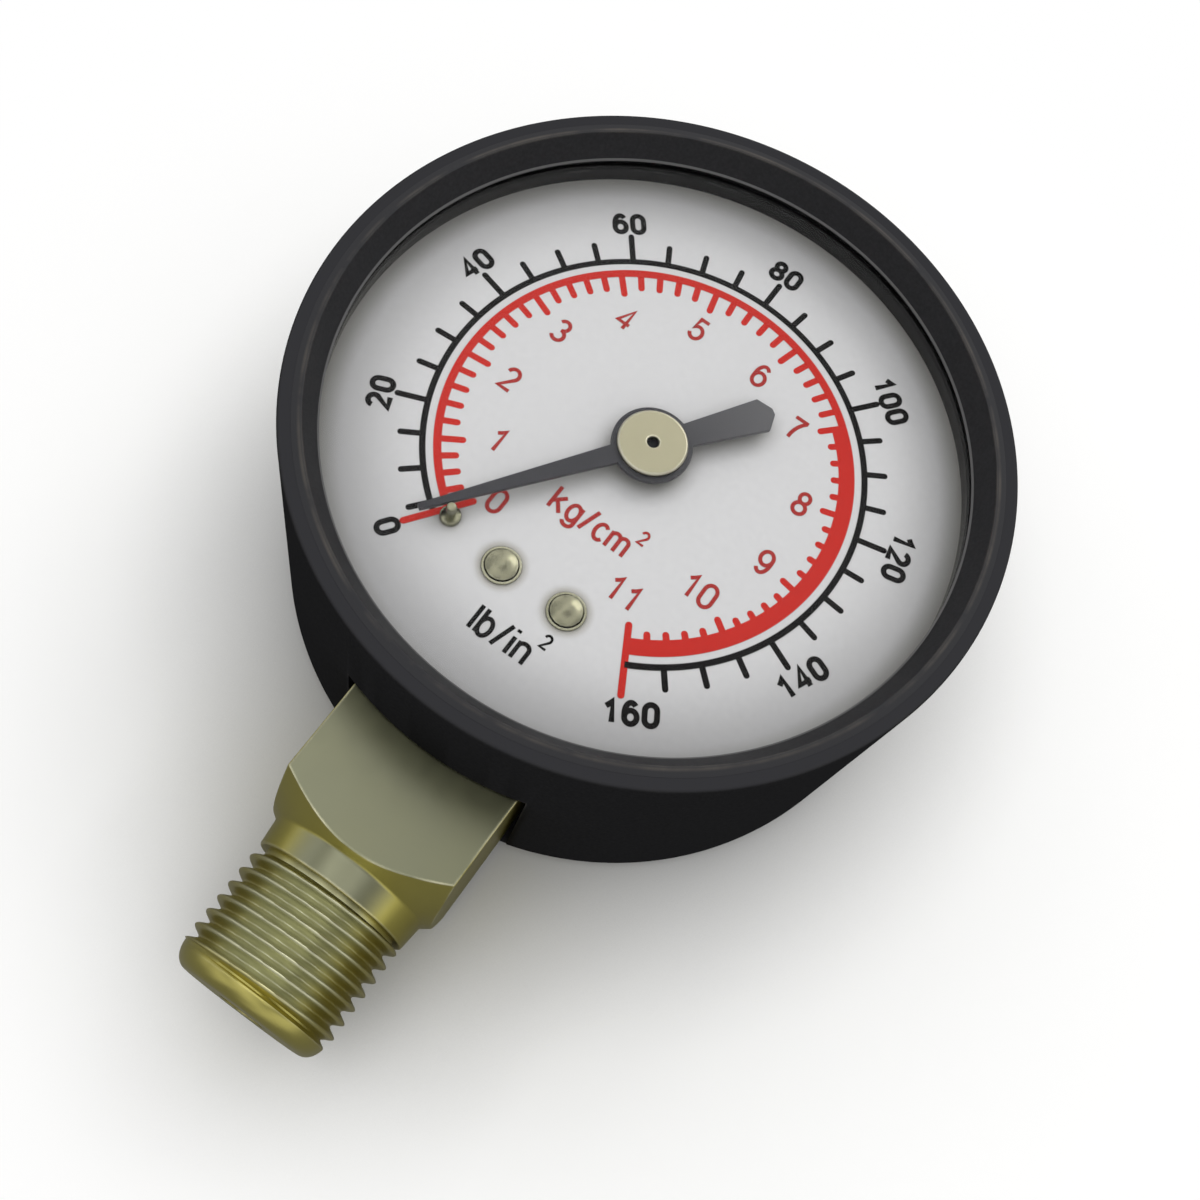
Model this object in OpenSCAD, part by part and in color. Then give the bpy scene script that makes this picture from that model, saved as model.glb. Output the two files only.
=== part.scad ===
// Pressure gauge of the 40 mm size with a threaded stem below, in millimetres.
// The gauge lies on its back: the dial faces +Z and the stem points along -Y.
// The origin is the centre of the case's back face.

/* [Case] */
// Outside diameter of the case
case_d = 40.8; // [40:0.1:44]
// Wall of the case below the ledge that carries the dial
case_wall = 2; // [1.7:0.1:2.4]
// Wall of the case round its mouth, above the ledge
mouth_wall = 1.15; // [0.95:0.05:1.4]
// Thickness of the case's back
case_back = 0.8; // [0.6:0.1:1.2]
// Round on the back's outer edge
case_round = 1.5; // [0.8:0.1:2]
// Round on the outer edge of the mouth's rim
rim_round = 0.2; // [0.1:0.05:0.4]
// Gap beside and above the stem in the case's wall
stem_gap = 0.45; // [0.2:0.05:0.8]

/* [Dial] */
// Height of the dial's face above the case's back
dial_z = 16.1; // [16:0.1:19]
// Thickness of the dial sheet
dial_t = 0.4; // [0.3:0.1:0.6]
// Diameter of the dial's centre hole
dial_hole_d = 3.2; // [2.4:0.1:3.8]
// Height of the ring that holds the dial down
dial_ring_h = 1.15; // [0.8:0.05:1.4]
// Width of that ring at its top
dial_ring_w = 0.8; // [0.7:0.05:1.2]
// Widening of that ring's bore towards the dial
ring_flare = 0.15; // [0.05:0.05:0.3]
// Distance between the two dial screws
dial_screw_span = 4.3; // [4.1:0.1:5]
// Sideways place of the middle of the dial screws
dial_screw_x = -0.35; // [-0.6:0.05:0.4]
// Distance of the dial screws below the dial's centre
dial_screw_y = 10.8; // [10.6:0.1:11.2]
// Diameter of a dial screw's domed head
dial_screw_head_d = 2; // [1.6:0.1:2.4]
// Height of a dial screw's domed head
dial_screw_head_h = 0.45; // [0.3:0.05:0.7]
// Diameter of the flange under that head
dial_screw_flange_d = 2.24; // [2:0.02:2.8]
// Thickness of that flange
dial_screw_flange_t = 0.12; // [0.08:0.02:0.2]
// Thread diameter of a dial screw
dial_screw_d = 1.2; // [1:0.1:1.3]
// Radius of the stop pin's place on the dial
stop_r = 11.95; // [11.6:0.05:12.6]
// Diameter of the stop pin
stop_d = 0.58; // [0.4:0.02:0.8]
// Height of the stop pin above the dial
stop_h = 1.4; // [1.3:0.05:1.5]
// Diameter of the stop pin's flange
stop_flange_d = 1.2; // [1:0.1:1.6]
// Thickness of the stop pin's flange
stop_flange_t = 0.3; // [0.2:0.05:0.4]
// Diameter of the stop pin's rivet head under the dial
stop_rivet_d = 0.88; // [0.8:0.02:1.2]
// Thickness of that rivet head
stop_rivet_t = 0.25; // [0.15:0.05:0.3]

/* [Bezel and window] */
// Height of the bezel's crest above the dial's face
bezel_rise = 3.95; // [3.6:0.05:4.6]
// Drop from the bezel's crest to the rim of the case
rim_drop = 0.1; // [0.05:0.05:0.3]
// Width of the bezel ring from the mouth to the sight edge
bezel_w = 0.97; // [0.85:0.01:1.2]
// Width of the bezel's crest
bezel_crest_w = 0.15; // [0.1:0.01:0.3]
// Thickness of the bezel's lip at the sight edge
bezel_lip = 0.12; // [0.05:0.01:0.3]
// Height of the bezel's snap bead
bead_h = 0.25; // [0.15:0.05:0.35]
// Thickness of the window
window_t = 0.8; // [0.6:0.05:1]
// Reach of the window under the bezel's lip
window_land = 0.37; // [0.3:0.01:0.5]
// Thickness of the window's gasket
gasket_t = 0.4; // [0.3:0.05:0.6]

/* [Pointer] */
// Direction of the pointer at rest, counted from +X
pointer_angle = 235; // [225:0.5:245]
// Travel of the pointer from rest to the end of the scale
pointer_travel = 297; // [270:1:300]
// Reach of the pointer's tip from the centre
pointer_tip = 13.6; // [12.6:0.1:15]
// Width of the blade at its tip
tip_w = 0.24; // [0.15:0.01:0.4]
// Width of the blade at the disc
blade_w = 1.15; // [0.8:0.05:1.6]
// Thickness of the blade
blade_t = 0.3; // [0.2:0.05:0.4]
// Reach of the tail's point from the centre
tail_point = 7.6; // [6.5:0.1:8.5]
// Length of the tail's point
tail_point_l = 0.65; // [0.3:0.05:1]
// Width of the tail at the disc
tail_w0 = 1.15; // [0.8:0.05:1.6]
// Width of the tail at its end
tail_w1 = 2.05; // [1.4:0.05:2.6]
// Width of the tail's blunt point
tail_blunt_w = 0.4; // [0.2:0.05:0.6]
// Diameter of the pointer's disc
disc_d = 4.66; // [4.2:0.02:5.2]
// Thickness of the pointer's disc
disc_t = 0.5; // [0.4:0.05:0.6]
// Height of the blade's face above the dial
blade_z = 1.2; // [1.1:0.05:1.25]
// Diameter of the hub's cap
cap_d = 3.96; // [3.4:0.02:4.1]
// Thickness of the hub's cap
cap_t = 0.2; // [0.15:0.01:0.25]
// Diameter of the hub's shank
hub_shank_d = 2; // [1.6:0.1:2.4]
// Diameter of the hub's lower flange
hub_flange_d = 2.8; // [2.4:0.1:3.4]
// Thickness of the hub's lower flange
hub_flange_t = 0.25; // [0.15:0.05:0.3]
// Depth of the hub's open hole above the arbor
hub_hole_depth = 0.25; // [0.15:0.05:0.4]

/* [Stem] */
// Width over the stem's wrench flats
square = 11; // [10.5:0.1:11.6]
// Gap between the wrench square and the case's back
square_gap = 0.1; // [0.05:0.05:0.3]
// Reach of the wrench square past the inside of the case's wall
square_inset = 0.5; // [0.3:0.1:0.8]
// Distance from the case's axis to the end of the square's corners
square_corner = 25.2; // [24.5:0.1:25.6]
// Angle of the chamfer turned on the square, from its end plane
chamfer_angle = 36; // [32:1:38]
// Distance from the case's axis to the square's shoulder
shoulder = 27.4; // [27.2:0.1:28]
// Diameter of the collar at the shoulder
collar_d0 = 10; // [9.8:0.05:10.3]
// Diameter of the collar at the thread
collar_d1 = 9.7; // [9.4:0.05:9.8]
// Length of the collar
collar_l = 1.4; // [1:0.1:1.8]
// Diameter of the relief groove between collar and thread
groove_d = 8.6; // [8:0.1:9]
// Length of the relief groove
groove_l = 0.3; // [0.2:0.05:0.6]
// Outside diameter of the connection's thread
thread_d = 9.728; // [9.5:0.001:9.8]
// Length of the thread
thread_l = 6.3; // [5.8:0.1:8]
// Length of the stem's rounded end
stem_end_l = 0.9; // [0.6:0.1:1.2]
// Diameter of the stem's end face
stem_end_d = 7.4; // [6.6:0.1:8]
// Width of the chamfer round the stem's end face
end_chamfer_w = 0.35; // [0.2:0.05:0.5]
// Depth of that chamfer
end_chamfer_h = 0.2; // [0.1:0.05:0.3]
// Diameter of the pressure port
port_d = 3; // [2.4:0.1:3.2]
// Diameter of the cross hole from the port to the tube
feed_d = 1; // [0.6:0.1:1.2]
// Length of the restrictor plug in the port
restrictor_l = 3; // [2:0.1:5]
// Diameter of the restrictor's orifice
orifice_d = 0.6; // [0.3:0.05:1]
// Depth of the restrictor behind the stem's end
restrictor_depth = 1.2; // [0.8:0.1:2]
// Width of the holder block inside the case
block_w = 9; // [8.6:0.1:10]
// Height of the holder block
block_h = 8; // [7.6:0.1:8.2]
// Distance from the case's axis to the block's inner end
block_end = 8; // [7.4:0.1:8.2]

/* [Bourdon tube] */
// Centre line radius of the tube
tube_r = 14.6; // [14.4:0.1:15]
// Height of the flattened tube
tube_h = 6; // [5:0.1:6.2]
// Width of the flattened tube
tube_w = 1.8; // [1.4:0.1:2]
// Wall of the tube
tube_wall = 0.3; // [0.2:0.05:0.4]
// Angle of the tube's root in the holder block
tube_root = 262; // [261:0.5:264]
// Angle of the tube's free end
tube_end = -15; // [-18:0.5:-12]
// Wall of the tip piece round the tube
tip_wall = 0.5; // [0.4:0.05:0.8]
// Angle that the tip piece covers on the tube
tip_cover = 3; // [2:0.5:4]
// Angle of the tip piece past the tube's end
tip_past = 4; // [4:0.5:6]

/* [Movement] */
// Thickness of each movement plate
plate_t = 0.8; // [0.6:0.05:0.9]
// Room between the movement plates
plate_room = 3; // [2.9:0.05:3.2]
// Reach of the plates to the left of the centre
plate_left = 5.4; // [5.2:0.1:6]
// Reach of the plates to the right of the centre
plate_right = 6; // [5.6:0.1:6.4]
// Reach of the plates above the centre
plate_up = 5.4; // [5.2:0.1:6]
// Reach of the plates below the centre
plate_down = 9.4; // [9:0.1:9.6]
// Width of the back plate's foot
foot_w = 7; // [6.6:0.1:8]
// Reach of the foot below the centre
foot_down = 15; // [14.4:0.1:16]
// Diameter of a pillar
pillar_d = 1.6; // [1.3:0.1:1.8]
// Distance of a pillar from the plate's edges
pillar_inset = 1.1; // [1:0.05:1.3]
// Diameter of a plate screw's head
plate_screw_head_d = 1.5; // [1.2:0.1:1.8]
// Height of a plate screw's head
plate_screw_head_h = 0.45; // [0.3:0.05:0.5]
// Thread diameter of a plate screw
plate_screw_d = 0.8; // [0.6:0.1:1]
// Diameter of a movement screw's head
movement_screw_head_d = 1.9; // [1.6:0.1:2.2]
// Height of a movement screw's head
movement_screw_head_h = 0.6; // [0.4:0.05:0.8]
// Thread diameter of a movement screw
movement_screw_d = 1.1; // [0.9:0.1:1.3]
// Length of a movement screw's thread in the holder block
movement_screw_grip = 1.9; // [1.4:0.1:2.1]
// Distance of the upper movement screw below the centre
movement_screw_y0 = 9.2; // [9.1:0.05:9.3]
// Distance of the lower movement screw below the centre
movement_screw_y1 = 13; // [12.8:0.1:13.6]
// Diameter of a dial post
post_d = 1.8; // [1.6:0.1:2]
// Diameter of the stud under a dial post
post_stud_d = 1.2; // [1:0.1:1.4]
// Length of that stud in the holder block
post_stud_l = 1.5; // [1:0.1:1.8]
// Diameter of a case screw's shank
case_screw_d = 1.5; // [1.2:0.1:1.6]
// Diameter of a case screw's countersunk head
case_screw_head_d = 3.2; // [2.8:0.1:3.6]
// Distance between the two case screws
case_screw_span = 5.2; // [4.8:0.1:5.6]
// Distance of the case screws below the centre
case_screw_y = 11.5; // [11:0.1:11.8]
// Depth of a case screw in the holder block
case_screw_grip = 2; // [1.4:0.1:2.1]
// Width of the moulded pad round a case screw's head
case_pad_w = 0.6; // [0.4:0.1:0.8]

/* [Gears and linkage] */
// Module of the pinion and the sector
gear_module = 0.15; // [0.14:0.002:0.155]
// Teeth of the pinion
pinion_teeth = 10; // [9:1:11]
// Teeth of the sector, were it a whole wheel
sector_teeth = 100; // [96:1:102]
// Play between the teeth at the pitch circle
backlash = 0.05; // [0.04:0.005:0.06]
// Height of the sector's teeth above the pitch circle, in modules
sector_addendum_m = 0.6; // [0.5:0.05:0.7]
// Clearance at the root of the teeth, in modules
root_play_m = 0.35; // [0.25:0.05:0.4]
// Face width of the pinion
pinion_face = 1.1; // [0.95:0.05:1.2]
// Diameter of the pinion's arbor
arbor_d = 0.8; // [0.6:0.02:0.9]
// Thickness of the sector
sector_t = 0.8; // [0.6:0.05:0.9]
// Height of the sector above the back plate
sector_lift = 0.5; // [0.4:0.05:0.6]
// Width of the sector's toothed rim
sector_rim = 1.1; // [0.9:0.05:1.4]
// Width of the sector's spokes, its tail and the tip's arm
spoke_w = 0.9; // [0.8:0.05:1]
// Diameter of the eyes round the link's pins
eye_d = 1.4; // [1.3:0.05:1.5]
// Angle of a spoke inside the end of the toothed rim
spoke_inset = 4; // [3:0.5:6]
// Diameter of the sector's hub
sector_hub_d = 2.2; // [1.8:0.1:2.4]
// Diameter of the sector's arbor
sector_arbor_d = 1; // [0.8:0.05:1.2]
// Diameter of the collars on the sector's arbor
arbor_collar_d = 1.6; // [1.4:0.1:1.9]
// Diameter of the sector arbor's pivots
sector_pivot_d = 0.7; // [0.5:0.02:0.76]
// Direction of the sector's pivot from the centre
sector_angle = -60; // [-62:0.5:-58]
// Length of the sector's tail
tail_l = 3.8; // [3.6:0.05:4]
// Direction of the tail at half travel
tail_mid_angle = -26; // [-28:0.5:-24]
// Length of the link between its pins
link_l = 6; // [5.8:0.05:6.4]
// Direction of the link from tail to tip
link_angle = 60; // [57:0.5:63]
// Width of the link
link_w = 1; // [0.8:0.05:1.1]
// Thickness of the link
link_t = 0.5; // [0.4:0.05:0.6]
// Diameter of the link's pins
link_pin_d = 0.6; // [0.5:0.02:0.7]
// Diameter of the heads of the link's pins
link_pin_head_d = 1.1; // [1:0.05:1.2]
// Thickness of those heads
link_pin_head_t = 0.2; // [0.15:0.05:0.25]
// Play of the sector's pin in the link's hole
link_play = 0.14; // [0.13:0.01:0.2]
// Turns of the hairspring
spring_turns = 4; // [3:0.5:5]
// Thickness of the hairspring's strip
spring_t = 0.12; // [0.1:0.01:0.16]
// Width of the hairspring's strip
spring_w = 0.6; // [0.4:0.05:0.7]
// Outer radius of the hairspring
spring_r = 3.4; // [3:0.1:3.5]
// Diameter of the hairspring's collet
collet_d = 1.8; // [1.6:0.1:2]
// Height of the hairspring's collet
collet_h = 0.8; // [0.7:0.05:0.85]
// Diameter of the hairspring's stud
stud_d = 0.7; // [0.6:0.05:0.9]
// Direction of the hairspring's stud from the centre
stud_angle = 150; // [130:5:160]

/* [Fits] */
// Radial play of a turning pivot in its hole
run_play = 0.03; // [0.02:0.005:0.05]
// Radial play between pieces that are fastened together
fit_play = 0.02; // [0.01:0.005:0.04]
// Play between rings dropped into the case's mouth
ring_play = 0.05; // [0.03:0.01:0.1]
// Side play between pieces that pass each other
side_play = 0.1; // [0.08:0.01:0.12]
// Gap between the resting pointer and the stop pin
stop_gap = 0.06; // [0.04:0.01:0.1]

/* [Hidden] */
$fn = 96;
cut = 1;
// Width of a screw's slot as a share of its head
slot_share = 1 / 6;
pi_deg = 180 / PI;

// Case and mouth
case_r = case_d / 2;
case_in_r = case_r - case_wall;
mouth_r = case_r - mouth_wall;
dial_under = dial_z - dial_t;
crest_z = dial_z + bezel_rise;
rim_z = crest_z - rim_drop;

// Stack above the dial: ring, gasket, window, bezel lip
ring_top = dial_z + dial_ring_h;
window_under = ring_top + gasket_t;
window_top = window_under + window_t;
bezel_r = mouth_r - ring_play;
sight_r = bezel_r - bezel_w;
window_r = sight_r + window_land;
dial_r = mouth_r - 2 * ring_play;
ring_in_r = mouth_r - ring_play - dial_ring_w;
bead_z = (ring_top + window_top) / 2 + ring_play;

// Stem
stem_z = case_back + square_gap + square / 2;
corner_r = square / sqrt(2);
chamfer_end_r = corner_r - (shoulder - square_corner) / tan(chamfer_angle);
collar_end = shoulder + collar_l;
thread_start = collar_end + groove_l;
thread_end = thread_start + thread_l;
stem_len = thread_end + stem_end_l;
square_start = sqrt(pow(case_in_r, 2) - pow(square / 2, 2)) - square_inset;
port_depth = tube_r - tube_w / 2;
block_top = stem_z + block_h / 2;
block_under = stem_z - block_h / 2;

// Movement, from its back plate up
back_top = block_top + plate_t;
front_under = back_top + plate_room;
front_top = front_under + plate_t;
sector_z = back_top + sector_lift;
sector_top = sector_z + sector_t;
pinion_z = sector_z - side_play;
link_z = sector_top + side_play;
link_top = link_z + link_t;
collet_z = front_under - side_play - collet_h;
spring_z = collet_z + (collet_h - spring_w) / 2;
hub_top = dial_z + blade_z + cap_t;
arbor_r = arbor_d / 2;
arbor_top = hub_top - hub_hole_depth;
arbor_foot = block_top + side_play;

// Gear pair and linkage
pressure_angle = 20;
pinion_addendum = gear_module;
sector_addendum = sector_addendum_m * gear_module;
root_play = root_play_m * gear_module;
centre_distance = gear_module * (pinion_teeth + sector_teeth) / 2;
sector_pivot = centre_distance * [cos(sector_angle), sin(sector_angle)];
sector_r = gear_module * sector_teeth / 2;
sector_pitch = 360 / sector_teeth;
sector_travel = pointer_travel * pinion_teeth / sector_teeth;
// Spare teeth past each end of the travel
sector_lead = 2;
sector_trail = ceil(sector_travel / sector_pitch) + sector_lead;
tail_rest_angle = tail_mid_angle - sector_travel / 2;
tail_pin = sector_pivot + tail_l * [cos(tail_rest_angle), sin(tail_rest_angle)];
tip_pin_at = tail_pin + link_l * [cos(link_angle), sin(link_angle)];
link_hole_r = link_pin_d / 2 + run_play;

// Places that several pieces share
dial_screw_at = [for (s = [-1, 1]) [dial_screw_x + s * dial_screw_span / 2, -dial_screw_y]];
movement_screw_at = [for (y = [movement_screw_y0, movement_screw_y1]) [dial_screw_x, -y]];
case_screw_at = [for (s = [-1, 1]) [s * case_screw_span / 2, -case_screw_y]];
pillar_at = [
    [pillar_inset - plate_left, plate_up - pillar_inset],
    [plate_right - pillar_inset, plate_up - pillar_inset],
    [pillar_inset - plate_left, pillar_inset - plate_down]
];
stud_at = (spring_r + stud_d / 2) * [cos(stud_angle), sin(stud_angle)];
// The blade's half width beside the stop pin gives the pin's angle
blade_half = (blade_w + (tip_w - blade_w) * (stop_r - disc_d / 2) / (pointer_tip - disc_d / 2)) / 2;
stop_angle = pointer_angle + asin((blade_half + stop_gap + stop_d / 2) / stop_r);
stop_at = stop_r * [cos(stop_angle), sin(stop_angle)];

// Colours, as the gauge shows them
black_paint = [0.16, 0.16, 0.17];
dial_white = [0.90, 0.90, 0.91];
brass = [0.62, 0.58, 0.34];
pale_brass = [0.78, 0.75, 0.62];
slate = [0.32, 0.32, 0.35];
steel = [0.66, 0.67, 0.68];
bronze = [0.66, 0.47, 0.28];
rubber = [0.10, 0.10, 0.10];
clear = [0.85, 0.90, 0.92, 0.3];

// A disc or ring between two heights
module disc(r, z0, z1) {
    translate([0, 0, z0]) cylinder(r = r, h = z1 - z0);
}

module ring(r_out, r_in, z0, z1) {
    difference() {
        disc(r_out, z0, z1);
        disc(r_in, z0 - cut, z1 + cut);
    }
}

// Children at each place in a list
module at_each(places) {
    for (p = places) translate([p[0], p[1], 0]) children();
}

// Children along the stem: their +Z runs out along the stem
module along_stem() {
    translate([0, 0, stem_z]) rotate([90, 0, 0]) children();
}

// A flat bar between two points, with a round eye at the end
module bar(p, q, w, z0, z1) {
    d = q - p;
    translate([p[0], p[1], z0]) rotate([0, 0, atan2(d[1], d[0])])
        translate([0, -w / 2, 0]) cube([norm(d), w, z1 - z0]);
    translate([q[0], q[1], 0]) disc(eye_d / 2, z0, z1);
}

// A plate with round corners
module rounded_plate(left, right, down, up, r, z0, z1) {
    translate([-left, -down + r, z0]) cube([left + right, down + up - 2 * r, z1 - z0]);
    translate([-left + r, -down, z0]) cube([left + right - 2 * r, down + up, z1 - z0]);
    for (x = [-left + r, right - r], y = [-down + r, up - r])
        translate([x, y, 0]) disc(r, z0, z1);
}

// Points of a quarter round in a profile, from angle a0 to a1
function arc_points(c, r, a0, a1, n = 8) =
    [for (i = [0:n]) let (a = a0 + (a1 - a0) * i / n) c + r * [cos(a), sin(a)]];

// Moulded cup with a rim round the mouth, a ledge for the dial and a window for the stem
module case() {
    inner_round = case_round - case_back / 2;
    pad_r = case_screw_head_d / 2 + case_pad_w;
    color(black_paint) difference() {
        union() {
            rotate_extrude() polygon(concat(
                [[0, 0]],
                arc_points([case_r - case_round, case_round], case_round, -90, 0),
                arc_points([case_r - rim_round, rim_z - rim_round], rim_round, 0, 90, 4),
                [
                    [mouth_r, rim_z],
                    [mouth_r, bead_z + bead_h + ring_play],
                    [mouth_r + bead_h, bead_z],
                    [mouth_r, bead_z - bead_h - ring_play],
                    [mouth_r, dial_under],
                    [case_in_r, dial_under]
                ],
                arc_points([case_in_r - inner_round, case_back + inner_round], inner_round, 0, -90),
                [[0, case_back]]
            ));
            at_each(case_screw_at) disc(pad_r, case_back / 2, block_under);
        }
        stem_window();
        at_each(case_screw_at) {
            disc(case_screw_d / 2 + side_play, -cut, block_under + cut);
            translate([0, 0, -cut]) cylinder(
                r1 = case_screw_head_d / 2 + side_play + cut,
                r2 = case_screw_d / 2 + side_play,
                h = (case_screw_head_d - case_screw_d) / 2 + cut
            );
        }
    }
}

// Opening in the case's wall for the wrench square
module stem_window() {
    w = square + 2 * stem_gap;
    translate([-w / 2, -case_r - cut, case_back])
        cube([w, case_r + cut - square_start, square_gap + square + stem_gap]);
}

// Snap-in ring: a crest, a slope down to the window, and a rebate behind it
module bezel() {
    color(black_paint) rotate_extrude() polygon([
        [bezel_r, ring_top],
        [bezel_r, bead_z - bead_h],
        [bezel_r + bead_h, bead_z],
        [bezel_r, bead_z + bead_h],
        [bezel_r, crest_z - bezel_crest_w / 2],
        [bezel_r - bezel_crest_w / 4, crest_z],
        [bezel_r - bezel_crest_w, crest_z],
        [sight_r, window_top + bezel_lip],
        [sight_r, window_top],
        [window_r + ring_play, window_top],
        [window_r + ring_play, ring_top]
    ]);
}

module window() {
    color(clear) disc(window_r, window_under, window_top);
}

// Flat rubber ring that presses the window up against the bezel's lip
module window_gasket() {
    color(rubber) ring(window_r, ring_in_r, ring_top, window_under);
}

// Ring that holds the dial on its ledge and carries the gasket
module dial_ring() {
    color(black_paint) rotate_extrude() polygon([
        [mouth_r - ring_play, dial_z],
        [mouth_r - ring_play, ring_top],
        [ring_in_r, ring_top],
        [ring_in_r + ring_flare, dial_z]
    ]);
}

module dial() {
    color(dial_white) difference() {
        disc(dial_r, dial_under, dial_z);
        disc(dial_hole_d / 2, dial_under - cut, dial_z + cut);
        at_each(dial_screw_at) disc(dial_screw_d / 2 + fit_play, dial_under - cut, dial_z + cut);
        at_each([stop_at]) disc(stop_d / 2 + fit_play, dial_under - cut, dial_z + cut);
    }
}

// Domed screws with a thin flange, through the dial into the posts
module dial_screws() {
    grip = (dial_under - back_top) / 2;
    head_z = dial_z + dial_screw_flange_t;
    dome_r = (pow(dial_screw_head_d / 2, 2) + pow(dial_screw_head_h, 2)) / (2 * dial_screw_head_h);
    color(pale_brass) at_each(dial_screw_at) {
        disc(dial_screw_d / 2, dial_under - grip, dial_z);
        disc(dial_screw_flange_d / 2, dial_z, head_z);
        intersection() {
            translate([0, 0, head_z + dial_screw_head_h - dome_r]) sphere(r = dome_r);
            disc(dial_screw_head_d, head_z, head_z + dome_r);
        }
    }
}

// Posts from the movement's back plate to the dial, screwed into the holder block
module dial_posts() {
    hole_depth = (dial_under - back_top) / 2 + side_play;
    color(brass) at_each(dial_screw_at) difference() {
        union() {
            disc(post_stud_d / 2, block_top - post_stud_l, back_top);
            disc(post_d / 2, back_top, dial_under);
        }
        disc(dial_screw_d / 2 + fit_play, dial_under - hole_depth, dial_under + cut);
    }
}

// Pin that the pointer rests on, riveted through the dial
module stop_pin() {
    color(pale_brass) at_each([stop_at]) {
        disc(stop_d / 2, dial_under - stop_rivet_t, dial_z + stop_h);
        disc(stop_flange_d / 2, dial_z, dial_z + stop_flange_t);
        disc(stop_rivet_d / 2, dial_under - stop_rivet_t, dial_under);
    }
}

// Stamped pointer: tapered blade, disc, and a flared tail with a blunt point
module pointer() {
    top = dial_z + blade_z;
    root = disc_d / 4;
    color(slate) rotate([0, 0, pointer_angle]) difference() {
        union() {
            translate([0, 0, top - blade_t]) linear_extrude(blade_t) {
                polygon([
                    [root, -blade_w / 2],
                    [pointer_tip, -tip_w / 2],
                    [pointer_tip, tip_w / 2],
                    [root, blade_w / 2]
                ]);
                polygon([
                    [-root, tail_w0 / 2],
                    [tail_point_l - tail_point, tail_w1 / 2],
                    [-tail_point, tail_blunt_w / 2],
                    [-tail_point, -tail_blunt_w / 2],
                    [tail_point_l - tail_point, -tail_w1 / 2],
                    [-root, -tail_w0 / 2]
                ]);
            }
            disc(disc_d / 2, top - disc_t, top);
        }
        disc(hub_shank_d / 2 + fit_play, top - disc_t - cut, top + cut);
    }
}

// Turned hub: cap above the disc, shank through it, flange below
module pointer_hub() {
    top = dial_z + blade_z;
    bevel = cap_t / 3;
    flange_z = top - disc_t - hub_flange_t;
    color(pale_brass) difference() {
        union() {
            disc(cap_d / 2, top, hub_top - bevel);
            translate([0, 0, hub_top - bevel])
                cylinder(r1 = cap_d / 2, r2 = cap_d / 2 - bevel, h = bevel);
            disc(hub_shank_d / 2, flange_z, top);
            disc(hub_flange_d / 2, flange_z, top - disc_t);
        }
        disc(arbor_r + fit_play, flange_z - cut, hub_top + cut);
    }
}

// Involute function, and a tooth's half angle at radius r
function inv(a) = tan(a) * pi_deg - a;
function half_angle(teeth, r) =
    let (pitch_r = gear_module * teeth / 2, base_r = pitch_r * cos(pressure_angle))
    (PI * gear_module / 2 - backlash / 2) / (2 * pitch_r) * pi_deg
        + inv(pressure_angle) - inv(acos(min(1, base_r / max(r, base_r))));

// Outline of one tooth at angle a, from its root round its tip to its other root
function tooth(teeth, a, root_r, tip_r, steps = 4) =
    let (
        base_r = gear_module * teeth / 2 * cos(pressure_angle),
        low_r = max(base_r, root_r),
        flank = [for (i = [0:steps]) low_r + (tip_r - low_r) * i / steps],
        rise = [for (r = flank) [r, -half_angle(teeth, r)]],
        fall = [for (i = [steps:-1:0]) [flank[i], half_angle(teeth, flank[i])]],
        foot = half_angle(teeth, low_r)
    )
    [for (p = concat([[root_r, -foot]], rise, fall, [[root_r, foot]]))
        p[0] * [cos(a + p[1]), sin(a + p[1])]];

// Arbor with the pinion's teeth cut on it; one tooth points at the sector
module pinion() {
    pitch_r = gear_module * pinion_teeth / 2;
    root_r = pitch_r - sector_addendum - root_play;
    color(steel) {
        disc(arbor_r, arbor_foot, arbor_top);
        disc(root_r, back_top + side_play, pinion_z);
        translate([0, 0, pinion_z]) linear_extrude(pinion_face) polygon([
            for (i = [0:pinion_teeth - 1])
                each tooth(pinion_teeth, sector_angle + 360 * i / pinion_teeth,
                    root_r, pitch_r + pinion_addendum)
        ]);
    }
}

module hairspring_collet() {
    color(brass) ring(collet_d / 2, arbor_r + fit_play, collet_z, collet_z + collet_h);
}

// Flat spiral strip from the collet out to the stud
module hairspring() {
    r0 = collet_d / 2 + fit_play + spring_t / 2;
    r1 = spring_r - fit_play - spring_t / 2;
    steps = 24 * spring_turns;
    function on_spiral(i, side) =
        let (a = stud_angle - 360 * spring_turns * (1 - i / steps), r = r0 + (r1 - r0) * i / steps)
        (r + side * spring_t / 2) * [cos(a), sin(a)];
    color(bronze) translate([0, 0, spring_z]) linear_extrude(spring_w) polygon(concat(
        [for (i = [0:steps]) on_spiral(i, 1)],
        [for (i = [steps:-1:0]) on_spiral(i, -1)]
    ));
}

// Stud under the front plate that holds the spring's outer end
module hairspring_stud() {
    color(brass) at_each([stud_at]) disc(stud_d / 2, collet_z, front_under);
}

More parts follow.
